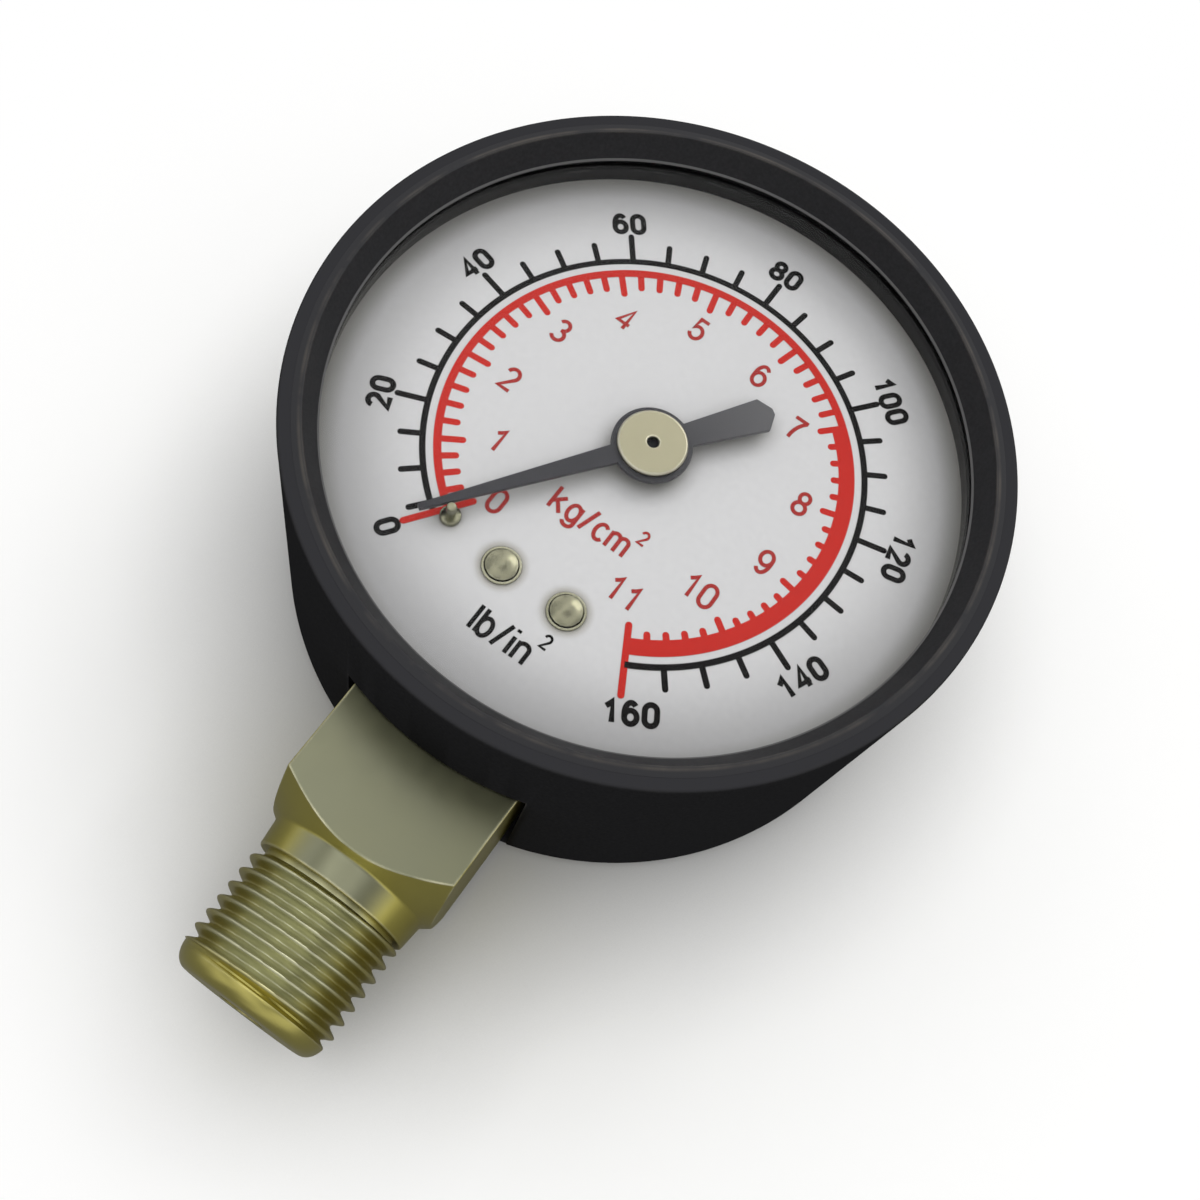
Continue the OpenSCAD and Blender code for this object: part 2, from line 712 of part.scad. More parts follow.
// Toothed sector with two spokes, a hub and a tail; a space between teeth faces the pinion
module sector_gear() {
    facing = sector_angle + 180;
    root_r = sector_r - pinion_addendum - root_play;
    rim_in_r = root_r - sector_rim;
    first = -sector_trail;
    last = sector_lead - 1;
    low = facing + first * sector_pitch;
    high = facing + (last + 1) * sector_pitch;
    mid_r = (root_r + rim_in_r) / 2;
    color(brass) difference() {
        union() {
            translate([sector_pivot[0], sector_pivot[1], 0]) {
                translate([0, 0, sector_z]) linear_extrude(sector_t) polygon(concat(
                    [
                        for (k = [first:last])
                            each tooth(sector_teeth, facing + (k + 0.5) * sector_pitch,
                                root_r, sector_r + sector_addendum, 3)
                    ],
                    arc_points([0, 0], rim_in_r, high, low, 16)
                ));
                disc(sector_hub_d / 2, sector_z, sector_top);
                for (a = [low + spoke_inset, high - spoke_inset])
                    spoke(a, mid_r);
            }
            bar(sector_pivot, tail_pin, spoke_w, sector_z, sector_top);
        }
        at_each([sector_pivot]) disc(sector_arbor_d / 2 + fit_play, sector_z - cut, sector_top + cut);
        at_each([tail_pin]) disc(link_pin_d / 2 + fit_play, sector_z - cut, sector_top + cut);
    }
}

// One spoke of the sector, from its hub to the middle of its rim
module spoke(a, reach) {
    rotate([0, 0, a]) translate([0, -spoke_w / 2, sector_z]) cube([reach, spoke_w, sector_t]);
}

// Arbor of the sector, with a collar above it and thin pivots in both plates
module sector_arbor() {
    color(steel) at_each([sector_pivot]) {
        disc(sector_pivot_d / 2, arbor_foot, front_top);
        disc(sector_arbor_d / 2, back_top + side_play, sector_top);
        disc(arbor_collar_d / 2, back_top + side_play, sector_z);
        disc(arbor_collar_d / 2, sector_top, front_under - side_play);
    }
}

// Headed pin through one end of the link
module headed_pin(under) {
    head_z = link_top + side_play;
    disc(link_pin_d / 2, under, head_z);
    disc(link_pin_head_d / 2, head_z, head_z + link_pin_head_t);
}

module link_pin() {
    color(steel) at_each([tail_pin]) headed_pin(sector_z);
}

module tip_pin() {
    color(steel) at_each([tip_pin_at]) headed_pin(sector_z);
}

// Flat link; its hole on the sector's pin has play
module link() {
    color(brass) difference() {
        union() {
            bar(tail_pin, tip_pin_at, link_w, link_z, link_top);
            at_each([tail_pin]) disc(eye_d / 2, link_z, link_top);
        }
        at_each([tail_pin]) disc(link_pin_d / 2 + link_play, link_z - cut, link_top + cut);
        at_each([tip_pin_at]) disc(link_hole_r, link_z - cut, link_top + cut);
    }
}

// Section of the flattened tube, grown by g
module tube_section(g) {
    r = tube_w / 2;
    flat = tube_h / 2 - r;
    translate([tube_r, stem_z]) {
        square([2 * (r + g), 2 * flat], center = true);
        for (s = [-1, 1]) translate([0, s * flat]) circle(r = r + g);
    }
}

// C-shaped spring tube, open at its root
module bourdon_tube() {
    color(bronze) rotate([0, 0, tube_end]) rotate_extrude(angle = tube_root - tube_end) difference() {
        tube_section(0);
        tube_section(-tube_wall);
    }
}

// Brass piece that closes the tube and reaches over to the link
module tube_tip() {
    grow = tube_w / 2 + tip_wall;
    reach = tube_h / 2 + tip_wall;
    arm_start = tube_r * [cos(tube_end - tip_past / 2), sin(tube_end - tip_past / 2)];
    color(brass) difference() {
        union() {
            rotate([0, 0, tube_end - tip_past]) rotate_extrude(angle = tip_past + tip_cover)
                translate([tube_r - grow, stem_z - reach]) square([2 * grow, 2 * reach]);
            rotate([0, 0, tube_end - tip_past]) rotate_extrude(angle = tip_past)
                translate([tube_r - tube_w / 2, stem_z + reach - tip_wall / 2])
                    square([tube_w, sector_top - stem_z - reach + tip_wall / 2]);
            bar(arm_start, tip_pin_at, spoke_w, sector_z, sector_top);
        }
        rotate([0, 0, tube_end]) rotate_extrude(angle = tip_cover + cut) tube_section(run_play);
        at_each([tip_pin_at]) disc(link_pin_d / 2 + fit_play, sector_z - cut, sector_top + cut);
    }
}

// Back plate with a foot on the holder block
module movement_back_plate() {
    corner = pillar_inset;
    color(brass) difference() {
        union() {
            rounded_plate(plate_left, plate_right, plate_down, plate_up, corner, block_top, back_top);
            rounded_plate(foot_w / 2 - dial_screw_x, foot_w / 2 + dial_screw_x, foot_down, 0,
                corner, block_top, back_top);
        }
        pivot_holes(block_top);
        at_each(pillar_at) disc(plate_screw_d / 2 + 2 * fit_play, block_top - cut, back_top + cut);
        at_each(movement_screw_at)
            disc(movement_screw_d / 2 + fit_play, block_top - cut, back_top + cut);
        at_each(dial_screw_at) disc(post_stud_d / 2 + fit_play, block_top - cut, back_top + cut);
    }
}

module movement_front_plate() {
    color(brass) difference() {
        rounded_plate(plate_left, plate_right, plate_down, plate_up, pillar_inset,
            front_under, front_top);
        pivot_holes(front_under);
        at_each(pillar_at) disc(plate_screw_d / 2 + fit_play, front_under - cut, front_top + cut);
    }
}

// Bearing holes of both arbors in a plate
module pivot_holes(z) {
    disc(arbor_r + run_play, z - cut, z + plate_t + cut);
    at_each([sector_pivot]) disc(sector_pivot_d / 2 + run_play, z - cut, z + plate_t + cut);
}

// Pillars riveted into the back plate, tapped at the top
module movement_pillars() {
    color(brass) at_each(pillar_at) difference() {
        union() {
            disc(plate_screw_d / 2 + fit_play, block_top, back_top);
            disc(pillar_d / 2, back_top, front_under);
        }
        disc(plate_screw_d / 2 + fit_play, front_under - plate_room / 2, front_under + cut);
    }
}

// Slotted screw head with a flat underside at z
module slotted_head(d, z, h) {
    slot_w = slot_share * d;
    difference() {
        disc(d / 2, z, z + h);
        translate([-d, -slot_w / 2, z + h / 2]) cube([2 * d, slot_w, h]);
    }
}

module plate_screws() {
    color(steel) at_each(pillar_at) {
        disc(plate_screw_d / 2, front_under - plate_room / 2 + side_play, front_top);
        slotted_head(plate_screw_head_d, front_top, plate_screw_head_h);
    }
}

module movement_screws() {
    color(steel) at_each(movement_screw_at) {
        disc(movement_screw_d / 2, block_top - movement_screw_grip, back_top);
        slotted_head(movement_screw_head_d, back_top, movement_screw_head_h);
    }
}

// Brass stem and holder block: wrench square, collar, connection thread, port and tube seat
module socket() {
    screw_depth = movement_screw_grip + side_play;
    feed_y = tube_r * sin(tube_root - 180);
    // The tube's seat is cut from well outside the block
    seat_start = 225;
    color(brass) difference() {
        union() {
            intersection() {
                translate([-square / 2, -shoulder, stem_z - square / 2])
                    cube([square, shoulder - square_start, square]);
                along_stem() rotate_extrude() polygon([
                    [0, square_start - cut],
                    [corner_r + cut, square_start - cut],
                    [corner_r + cut, square_corner - cut * tan(chamfer_angle)],
                    [chamfer_end_r, shoulder],
                    [0, shoulder]
                ]);
            }
            along_stem() rotate_extrude() polygon([
                [0, shoulder - cut],
                [collar_d0 / 2, shoulder - cut],
                [collar_d0 / 2, shoulder],
                [collar_d1 / 2, collar_end],
                [groove_d / 2, collar_end],
                [groove_d / 2, thread_start],
                [thread_d / 2, thread_start],
                [thread_d / 2, thread_end],
                [stem_end_d / 2 + end_chamfer_w, stem_len - end_chamfer_h],
                [stem_end_d / 2, stem_len],
                [0, stem_len]
            ]);
            translate([-block_w / 2, -square_start - cut, block_under])
                cube([block_w, square_start + cut - block_end, block_h]);
        }
        along_stem() disc(port_d / 2, port_depth, stem_len + cut);
        translate([0, -feed_y, stem_z]) rotate([0, -90, 0])
            cylinder(d = feed_d, h = tube_r * sin(270 - tube_root) + tube_wall);
        rotate([0, 0, seat_start]) rotate_extrude(angle = tube_root - seat_start) tube_section(fit_play);
        at_each(movement_screw_at)
            disc(movement_screw_d / 2 + fit_play, block_top - screw_depth, block_top + cut);
        at_each(dial_screw_at)
            disc(post_stud_d / 2 + fit_play, block_top - post_stud_l - side_play, block_top + cut);
        at_each(case_screw_at)
            disc(case_screw_d / 2 + fit_play, block_under - cut, block_under + case_screw_grip + side_play);
    }
}

// Plug in the port with a fine orifice that damps surges
module restrictor() {
    end = stem_len - restrictor_depth;
    color(pale_brass) along_stem() ring(port_d / 2 - fit_play, orifice_d / 2, end - restrictor_l, end);
}

// Countersunk screws through the back into the holder block
module case_screws() {
    head_h = (case_screw_head_d - case_screw_d) / 2;
    sunk = side_play / 2;
    slot_w = slot_share * case_screw_head_d;
    color(steel) at_each(case_screw_at) difference() {
        union() {
            translate([0, 0, sunk])
                cylinder(d1 = case_screw_head_d, d2 = case_screw_d, h = head_h);
            disc(case_screw_d / 2, sunk + head_h, block_under + case_screw_grip);
        }
        translate([-case_screw_head_d, -slot_w / 2, sunk - cut])
            cube([2 * case_screw_head_d, slot_w, cut + head_h / 2]);
    }
}

case();
bezel();
window();
window_gasket();
dial_ring();
dial();
dial_screws();
dial_posts();
stop_pin();
pointer();
pointer_hub();
pinion();
hairspring_collet();
hairspring();
hairspring_stud();
sector_gear();
sector_arbor();
link_pin();
link();
tip_pin();
tube_tip();
bourdon_tube();
movement_back_plate();
movement_front_plate();
movement_pillars();
plate_screws();
movement_screws();
socket();
restrictor();
case_screws();
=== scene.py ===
import math

import bmesh
import bpy
from mathutils import Matrix, Vector


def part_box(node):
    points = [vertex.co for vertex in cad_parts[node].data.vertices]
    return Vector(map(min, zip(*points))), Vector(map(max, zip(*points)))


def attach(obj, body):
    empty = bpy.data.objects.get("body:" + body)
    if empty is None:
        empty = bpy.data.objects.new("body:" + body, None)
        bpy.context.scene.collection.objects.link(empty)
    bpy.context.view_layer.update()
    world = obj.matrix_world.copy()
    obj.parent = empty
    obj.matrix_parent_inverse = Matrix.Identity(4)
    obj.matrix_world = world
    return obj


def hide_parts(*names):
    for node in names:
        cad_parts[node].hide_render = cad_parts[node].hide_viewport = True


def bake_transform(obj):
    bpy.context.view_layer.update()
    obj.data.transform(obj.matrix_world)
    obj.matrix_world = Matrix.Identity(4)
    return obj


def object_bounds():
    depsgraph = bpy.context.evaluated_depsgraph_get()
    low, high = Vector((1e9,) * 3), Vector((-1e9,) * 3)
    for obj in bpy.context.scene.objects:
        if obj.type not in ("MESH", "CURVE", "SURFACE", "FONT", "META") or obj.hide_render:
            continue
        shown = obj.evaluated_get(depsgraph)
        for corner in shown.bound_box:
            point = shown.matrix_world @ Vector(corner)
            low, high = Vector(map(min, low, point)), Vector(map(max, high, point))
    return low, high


# The gauge lies on its back, in metres: the dial faces +Z and the stem points along -Y.
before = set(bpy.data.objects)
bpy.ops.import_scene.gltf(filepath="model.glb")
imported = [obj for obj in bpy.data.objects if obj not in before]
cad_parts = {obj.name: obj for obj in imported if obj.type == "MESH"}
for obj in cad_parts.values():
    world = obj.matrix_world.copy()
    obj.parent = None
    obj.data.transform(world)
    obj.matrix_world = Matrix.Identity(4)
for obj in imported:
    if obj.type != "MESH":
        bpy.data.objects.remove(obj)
cad_low, cad_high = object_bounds()

# Case
# A round cup moulded in matt black plastic, with a flat back, a rounded back edge, a flat rim and an
# opening in its wall for the stem. The mould leaves a fine grain, and the edges are a little paler, partly
# from handling and partly a painted highlight.

MM = 0.001
case_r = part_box("case")[1].x
case_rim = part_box("case")[1].z
dial_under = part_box("dial")[0].z
dial_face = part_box("dial")[1].z
ring_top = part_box("dial_ring")[1].z
window_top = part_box("window")[1].z
ring_play = 0.05 * MM
mouth_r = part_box("dial_ring")[1].x + ring_play
case_wall = 2.0 * MM
case_back = 0.8 * MM
back_round = 1.5 * MM
rim_round = 0.2 * MM
seam_round = 0.06 * MM
bead_h = 0.25 * MM
bead_z = (ring_top + window_top) / 2 + ring_play
stem_gap = 0.45 * MM
square_gap = 0.1 * MM
moulded_edge = 0.12 * MM
plastic_edge_highlight = 0.9
edge_highlight_reach = 0.12 * MM


def rounded_profile(corners, steps=5):
    """Points along a closed profile of (radius, height, fillet) corners, each fillet drawn as an arc."""
    points = []
    for i, (r, z, fillet) in enumerate(corners):
        here = Vector((r, z))
        if not fillet:
            points.append(here)
            continue
        back = (Vector(corners[i - 1][:2]) - here).normalized()
        ahead = (Vector(corners[(i + 1) % len(corners)][:2]) - here).normalized()
        half = back.angle(ahead) / 2
        reach = fillet / math.tan(half)
        centre = here + (back + ahead).normalized() * (fillet / math.sin(half))
        first = here + back * reach
        last = here + ahead * reach
        points.append(first + back * fillet / 4)
        for k in range(steps + 1):
            spoke = (first - centre).lerp(last - centre, k / steps)
            points.append(centre + spoke.normalized() * fillet)
        points.append(last + ahead * fillet / 4)
    return points


def to_object(name, bm, sharp=35):
    """A scene object from a bmesh, smooth except where its faces meet at more than sharp degrees."""
    bmesh.ops.recalc_face_normals(bm, faces=bm.faces)
    mesh = bpy.data.meshes.new(name)
    bm.to_mesh(mesh)
    bm.free()
    mesh.shade_smooth()
    mesh.set_sharp_from_angle(angle=math.radians(sharp))
    made = bpy.data.objects.new(name, mesh)
    bpy.context.scene.collection.objects.link(made)
    return made


def lathe(name, profile, segments=192, closed=True):
    """A solid turned round Z from a profile of radii and heights. A point on the axis becomes one pole."""
    bm = bmesh.new()
    turns = [math.tau * k / segments for k in range(segments)]
    rings = []
    for r, z in profile:
        if r == 0:
            rings.append([bm.verts.new((0, 0, z))])
        else:
            rings.append([bm.verts.new((r * math.cos(a), r * math.sin(a), z)) for a in turns])
    pairs = list(zip(rings, rings[1:]))
    if closed:
        pairs.append((rings[-1], rings[0]))
    for low, high in pairs:
        for k in range(segments):
            n = (k + 1) % segments
            four = low[k % len(low)], low[n % len(low)], high[n % len(high)], high[k % len(high)]
            corners = list(dict.fromkeys(four))
            if len(corners) > 2:
                bm.faces.new(corners)
    return to_object(name, bm)


def block(name, low, high):
    """A box between two corners."""
    bm = bmesh.new()
    size = Vector(high) - Vector(low)
    place = Matrix.Translation((Vector(high) + Vector(low)) / 2) @ Matrix.Diagonal((*size, 1))
    bmesh.ops.create_cube(bm, size=1, matrix=place)
    return to_object(name, bm)


def rod(name, centre, r, z0, z1, r_end=None):
    """A round cutter or boss along Z, or a cone where r_end is given."""
    made = lathe(name, [(0, z0), (r, z0), (r if r_end is None else r_end, z1), (0, z1)], 64, closed=False)
    made.data.transform(Matrix.Translation((centre[0], centre[1], 0)))
    return made


def apply_steps(piece):
    """Fixes a piece's modifiers into its mesh."""
    graph = bpy.context.evaluated_depsgraph_get()
    mesh = bpy.data.meshes.new_from_object(piece.evaluated_get(graph))
    piece.modifiers.clear()
    piece.data = mesh


def combine(piece, other, operation):
    """Joins a piece with another, cuts it or keeps what they share; the other is used up."""
    step = piece.modifiers.new("combine", "BOOLEAN")
    step.operation = operation
    step.solver = "EXACT"
    step.object = other
    apply_steps(piece)
    bpy.data.objects.remove(other)


def soften(piece, width, angle=50, segments=3):
    """Rounds every edge sharper than an angle, as a mould or a deburring tool leaves it."""
    step = piece.modifiers.new("soften", "BEVEL")
    step.width = width
    step.segments = segments
    step.limit_method = "ANGLE"
    step.angle_limit = math.radians(angle)
    apply_steps(piece)


def add(tree, kind, values=None, **settings):
    """A node of one kind; each value is a number, a colour or the socket that feeds the input."""
    made = tree.nodes.new("ShaderNode" + kind)
    for name, setting in settings.items():
        setattr(made, name, setting)
    for name, value in (values or {}).items():
        if isinstance(value, bpy.types.NodeSocket):
            tree.links.new(value, made.inputs[name])
        else:
            made.inputs[name].default_value = value
    return made


def ranged(tree, value, start, end, low=0.0, high=1.0, smooth=False):
    """A socket that goes from low to high while a value goes from start to end."""
    values = {"Value": value, "From Min": start, "From Max": end, "To Min": low, "To Max": high}
    curve = "SMOOTHSTEP" if smooth else "LINEAR"
    return add(tree, "MapRange", values, interpolation_type=curve).outputs["Result"]


def mix_colours(tree, share, first, second):
    """A socket with the first colour, which turns to the second by a share."""
    return add(tree, "Mix", {"Factor": share, 6: first, 7: second}, data_type="RGBA").outputs[2]


def product(tree, one, two):
    """A socket with the product of two values."""
    return add(tree, "Math", {0: one, 1: two}, operation="MULTIPLY").outputs[0]


def start_group(name, inputs, outputs):
    """A node group with named inputs and outputs; returns its tree, input sockets and output node."""
    tree = bpy.data.node_groups.new(name, "ShaderNodeTree")
    for label, (kind, value) in inputs.items():
        socket = tree.interface.new_socket(label, in_out="INPUT", socket_type="NodeSocket" + kind)
        socket.default_value = value
    for label, kind in outputs.items():
        tree.interface.new_socket(label, in_out="OUTPUT", socket_type="NodeSocket" + kind)
    return tree, tree.nodes.new("NodeGroupInput").outputs, tree.nodes.new("NodeGroupOutput").inputs


def place_group(tree, group, values):
    """A node group placed in a material with its own values; returns its outputs."""
    return add(tree, "Group", values, node_tree=group).outputs


def new_material(name, values):
    """A material whose Principled shader takes the values given; returns it with its tree and shader."""
    made = bpy.data.materials.new(name)
    made.use_nodes = True
    shader = made.node_tree.nodes["Principled BSDF"]
    for label, value in values.items():
        shader.inputs[label].default_value = value
    return made, made.node_tree, shader


def feed(tree, shader, **sockets):
    """Links sockets to a shader's inputs by name, such as Base_Color."""
    for label, socket in sockets.items():
        tree.links.new(socket, shader.inputs[label.replace("_", " ")])


def wear(piece, material):
    """Puts one material on a piece or a carried-over solid."""
    piece.data.materials.clear()
    piece.data.materials.append(material)


# Fine grain: small flecks of a paler and a darker tone, and the height that goes with them
grain_group, grain_in, grain_out = start_group(
    "fine_grain",
    {"Colour": ("Color", (0.5, 0.5, 0.5, 1)), "Fineness": ("Float", 5000.0), "Contrast": ("Float", 0.3)},
    {"Colour": "Color", "Height": "Float"},
)
place = add(grain_group, "TexCoord").outputs["Object"]
flecks = add(grain_group, "TexNoise", {"Vector": place, "Scale": grain_in["Fineness"], "Detail": 3.0})
spread = add(grain_group, "Math", {0: flecks.outputs["Fac"], 1: 0.5}, operation="SUBTRACT").outputs[0]
spread = product(grain_group, spread, grain_in["Contrast"])
spread = add(grain_group, "Math", {0: spread, 1: 1.0}, operation="ADD").outputs[0]
tone = add(grain_group, "VectorMath", {0: grain_in["Colour"], "Scale": spread}, operation="SCALE")
grain_group.links.new(tone.outputs["Vector"], grain_out["Colour"])
grain_group.links.new(flecks.outputs["Fac"], grain_out["Height"])

# Rubbed edges and painted highlights: short rays inside the solid meet a second face near an edge, and
# there the colour turns to another one, partly wear and partly a painted highlight, more in some places than
# in others
edge_highlight_group, edge_highlight_in, edge_highlight_out = start_group(
    "rubbed_and_highlit_edges",
    {
        "Colour": ("Color", (0.5, 0.5, 0.5, 1)),
        "Rubbed_Highlight": ("Color", (0.6, 0.6, 0.6, 1)),
        "Amount": ("Float", 0.5),
        "Reach": ("Float", 0.0001),
    },
    {"Colour": "Color", "Mask": "Float"},
)
place = add(edge_highlight_group, "TexCoord").outputs["Object"]
solid = add(
    edge_highlight_group, "AmbientOcclusion", {"Distance": edge_highlight_in["Reach"]}, samples=8, inside=True, only_local=True
).outputs["AO"]
edge = ranged(edge_highlight_group, solid, 1.0, 0.8)
patches = add(edge_highlight_group, "TexNoise", {"Vector": place, "Scale": 400.0, "Detail": 4.0}).outputs["Fac"]
mask = product(edge_highlight_group, edge, ranged(edge_highlight_group, patches, 0.35, 0.65))
mask = product(edge_highlight_group, mask, edge_highlight_in["Amount"])
# The paler colour on edges is partly wear and partly a painted highlight.
rubbed_highlight = mix_colours(edge_highlight_group, mask, edge_highlight_in["Colour"], edge_highlight_in["Rubbed_Highlight"])
edge_highlight_group.links.new(rubbed_highlight, edge_highlight_out["Colour"])
edge_highlight_group.links.new(mask, edge_highlight_out["Mask"])

# Handling: broad, soft patches where a surface is a little shinier or duller
handling_group, handling_in, handling_out = start_group(
    "handling",
    {"Shiniest": ("Float", 0.3), "Dullest": ("Float", 0.5), "Patches": ("Float", 150.0)},
    {"Roughness": "Float"},
)
place = add(handling_group, "TexCoord").outputs["Object"]
patches = add(handling_group, "TexNoise", {"Vector": place, "Scale": handling_in["Patches"], "Detail": 5.0})
patches = patches.outputs["Fac"]
gloss = ranged(handling_group, patches, 0.3, 0.7, handling_in["Shiniest"], handling_in["Dullest"])
handling_group.links.new(gloss, handling_out["Roughness"])

# Settled dust and sheen: a thin dull film on every face that looks up, a little uneven; on the stem its
# colour also paints the grey sheen of the sky
dust_and_sheen_group, dust_and_sheen_in, dust_and_sheen_out = start_group(
    "settled_dust_and_sheen",
    {
        "Colour": ("Color", (0.5, 0.5, 0.5, 1)),
        "Dust": ("Color", (0.2, 0.2, 0.2, 1)),
        "Amount": ("Float", 0.5),
        "Steepest": ("Float", 0.35),
    },
    {"Colour": "Color", "Mask": "Float"},
)
coordinates = add(dust_and_sheen_group, "TexCoord").outputs
upward = add(dust_and_sheen_group, "SeparateXYZ", {0: coordinates["Normal"]}).outputs["Z"]
upward = ranged(dust_and_sheen_group, upward, dust_and_sheen_in["Steepest"], 0.95, smooth=True)
patches = add(dust_and_sheen_group, "TexNoise", {"Vector": coordinates["Object"], "Scale": 250.0, "Detail": 5.0})
patches = ranged(dust_and_sheen_group, patches.outputs["Fac"], 0.0, 1.0, 0.93, 1.0)
mask = product(dust_and_sheen_group, product(dust_and_sheen_group, upward, patches), dust_and_sheen_in["Amount"])
dust_and_sheen_share = mix_colours(dust_and_sheen_group, mask, dust_and_sheen_in["Colour"], dust_and_sheen_in["Dust"])
dust_and_sheen_group.links.new(dust_and_sheen_share, dust_and_sheen_out["Colour"])
dust_and_sheen_group.links.new(mask, dust_and_sheen_out["Mask"])


def moulded_plastic(name, colour, rubbed_highlight, dust, shiniest, dullest, shine=0.05, wear_highlight=None, depth=0.12):
    """Moulded plastic: grain of a depth, paler edges of wear and painted highlight as much as asked, dust,
    handling and a shine.
    """
    made, tree, shader = new_material(name, {"IOR": 1.5, "Specular IOR Level": shine})
    grain = place_group(tree, grain_group, {"Colour": colour, "Fineness": 5200.0, "Contrast": 0.7})
    film = place_group(tree, dust_and_sheen_group, {"Colour": grain["Colour"], "Dust": dust, "Amount": 1.0})
    # Paler edges: partly wear, partly a painted highlight.
    amount = wear_highlight(tree) if wear_highlight else plastic_edge_highlight
    edges = place_group(tree, edge_highlight_group, {
        "Colour": film["Colour"], "Rubbed_Highlight": rubbed_highlight, "Amount": amount, "Reach": edge_highlight_reach,
    })
    gloss = place_group(tree, handling_group, {"Shiniest": shiniest, "Dullest": dullest})
    bump = add(tree, "Bump", {"Height": grain["Height"], "Strength": depth, "Distance": 0.02 * MM})
    feed(tree, shader, Base_Color=edges["Colour"], Roughness=gloss["Roughness"], Normal=bump.outputs[0])
    return made


case = lathe("case_shell", rounded_profile([
    (case_r, 0, back_round),
    (case_r, case_rim, rim_round),
    (mouth_r, case_rim, seam_round),
    (mouth_r, bead_z + bead_h + ring_play, 0),
    (mouth_r + bead_h, bead_z, 0),
    (mouth_r, bead_z - bead_h - ring_play, 0),
    (mouth_r, dial_under, 0),
    (case_r - case_wall, dial_under, 0),
    (case_r - case_wall, case_back, back_round - case_back / 2),
    (0, case_back, 0),
    (0, 0, 0),
], steps=8), 256)

screw_low, screw_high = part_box("case_screws")
socket_low, socket_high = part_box("socket")
stem_z = (socket_low.z + socket_high.z) / 2
square = socket_high.x - socket_low.x
screw_head_r = 1.6 * MM
screw_shank_r = 0.75 * MM
screw_play = 0.1 * MM
pad_wall = 0.6 * MM
pad_r = screw_head_r + pad_wall
pad_top = 2.4 * MM
beyond = 1 * MM
for x in (screw_low.x + screw_head_r, screw_high.x - screw_head_r):
    at = (x, (screw_low.y + screw_high.y) / 2)
    head_h = screw_head_r - screw_shank_r
    combine(case, rod("pad", at, pad_r, case_back / 2, pad_top), "UNION")
    combine(case, rod("shank_hole", at, screw_shank_r + screw_play, -beyond, pad_top + beyond), "DIFFERENCE")
    mouth = screw_head_r + screw_play + beyond
    combine(case, rod("sink", at, mouth, -beyond, head_h, screw_shank_r + screw_play), "DIFFERENCE")
stem_half = square / 2 + stem_gap
combine(case, block(
    "stem_opening",
    (-stem_half, -case_r - beyond, case_back),
    (stem_half, -case_r + 2 * case_wall, case_back + square_gap + square + stem_gap),
), "DIFFERENCE")
soften(case, moulded_edge)

case_plastic = moulded_plastic(
    "case_plastic",
    colour=(0.020, 0.020, 0.0212, 1),
    rubbed_highlight=(0.050, 0.048, 0.045, 1),
    dust=(0.036, 0.036, 0.0395, 1),
    shiniest=0.46,
    dullest=0.60,
    shine=0.0,
)
wear(case, case_plastic)
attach(case, "gauge")
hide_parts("case")

# Socket
# The brass stem and holder block, turned and milled from one bar: a wrench square with a turned chamfer,
# a tapered collar, a parallel pipe thread and a rounded end with the pressure port. Two screws hold it in
# the case. A dull film lies on the square and the collar, its colour partly a painted grey sheen of the
# sky, and a painted sky reflection greys the thread along its top. Its paler edges are partly a painted
# highlight.

stem_end = -socket_low.y
block_end = -socket_high.y
block_half = 4.5 * MM
block_h = 8 * MM
square_start = 17.06 * MM
square_corner = 25.2 * MM
square_chamfer = math.tan(math.radians(36))
square_edge = 0.13 * MM
columns_per_side = 36
columns_per_corner = 5
chamfer_rows = 6
chamfer_row = 0.1
chamfer_first = 0.2
collar_start = 27.2 * MM
collar_r0 = 5.02 * MM
collar_r1 = 4.85 * MM
collar_end = 28.8 * MM
collar_hollow = 0.3 * MM
collar_round = 0.12 * MM
groove_r = 4.3 * MM
thread_start = collar_end + 0.3 * MM
thread_r = 4.864 * MM
thread_pitch = 0.907 * MM
thread_depth = 0.581 * MM
first_crest = 29.18 * MM
rows_per_turn = 22
runout = 0.45 * MM
nose_l = 1.25 * MM
nose_w = 0.95 * MM
nose_r = 4.74 * MM
nose_steps = 20
port_r = 1.5 * MM
port_depth = 13.7 * MM
along_stem = Matrix.Translation((0, 0, stem_z)) @ Matrix.Rotation(math.radians(90), 4, "X")


def square_outline():
    """Points round the wrench square, with a small round on each corner."""
    half = square / 2
    inner = half - square_edge
    points = []
    for side in range(4):
        turn = Matrix.Rotation(math.pi / 2 * side, 2)
        flat = inner - square_edge / 4
        across = [flat * (2 * k / (columns_per_side - 1) - 1) for k in range(columns_per_side)]
        points += [turn @ Vector((half, y)) for y in across]
        for k in range(columns_per_corner + 1):
            a = math.pi / 2 * k / columns_per_corner
            out = Vector((math.cos(a), math.sin(a))) * square_edge
            points.append(turn @ (Vector((inner, inner)) + out))
    return points


def thread_cut(r, along, angle):
    """Radius left by the thread tool, in a groove that winds round and runs out at the nose."""
    turn = (along - first_crest) / thread_pitch - angle / math.tau
    depth = (1 - math.cos(math.tau * turn)) / 2
    fade = min(1, max(0, (stem_end - nose_l - along) / runout + 1))
    return min(r, thread_r - thread_depth * fade * depth)


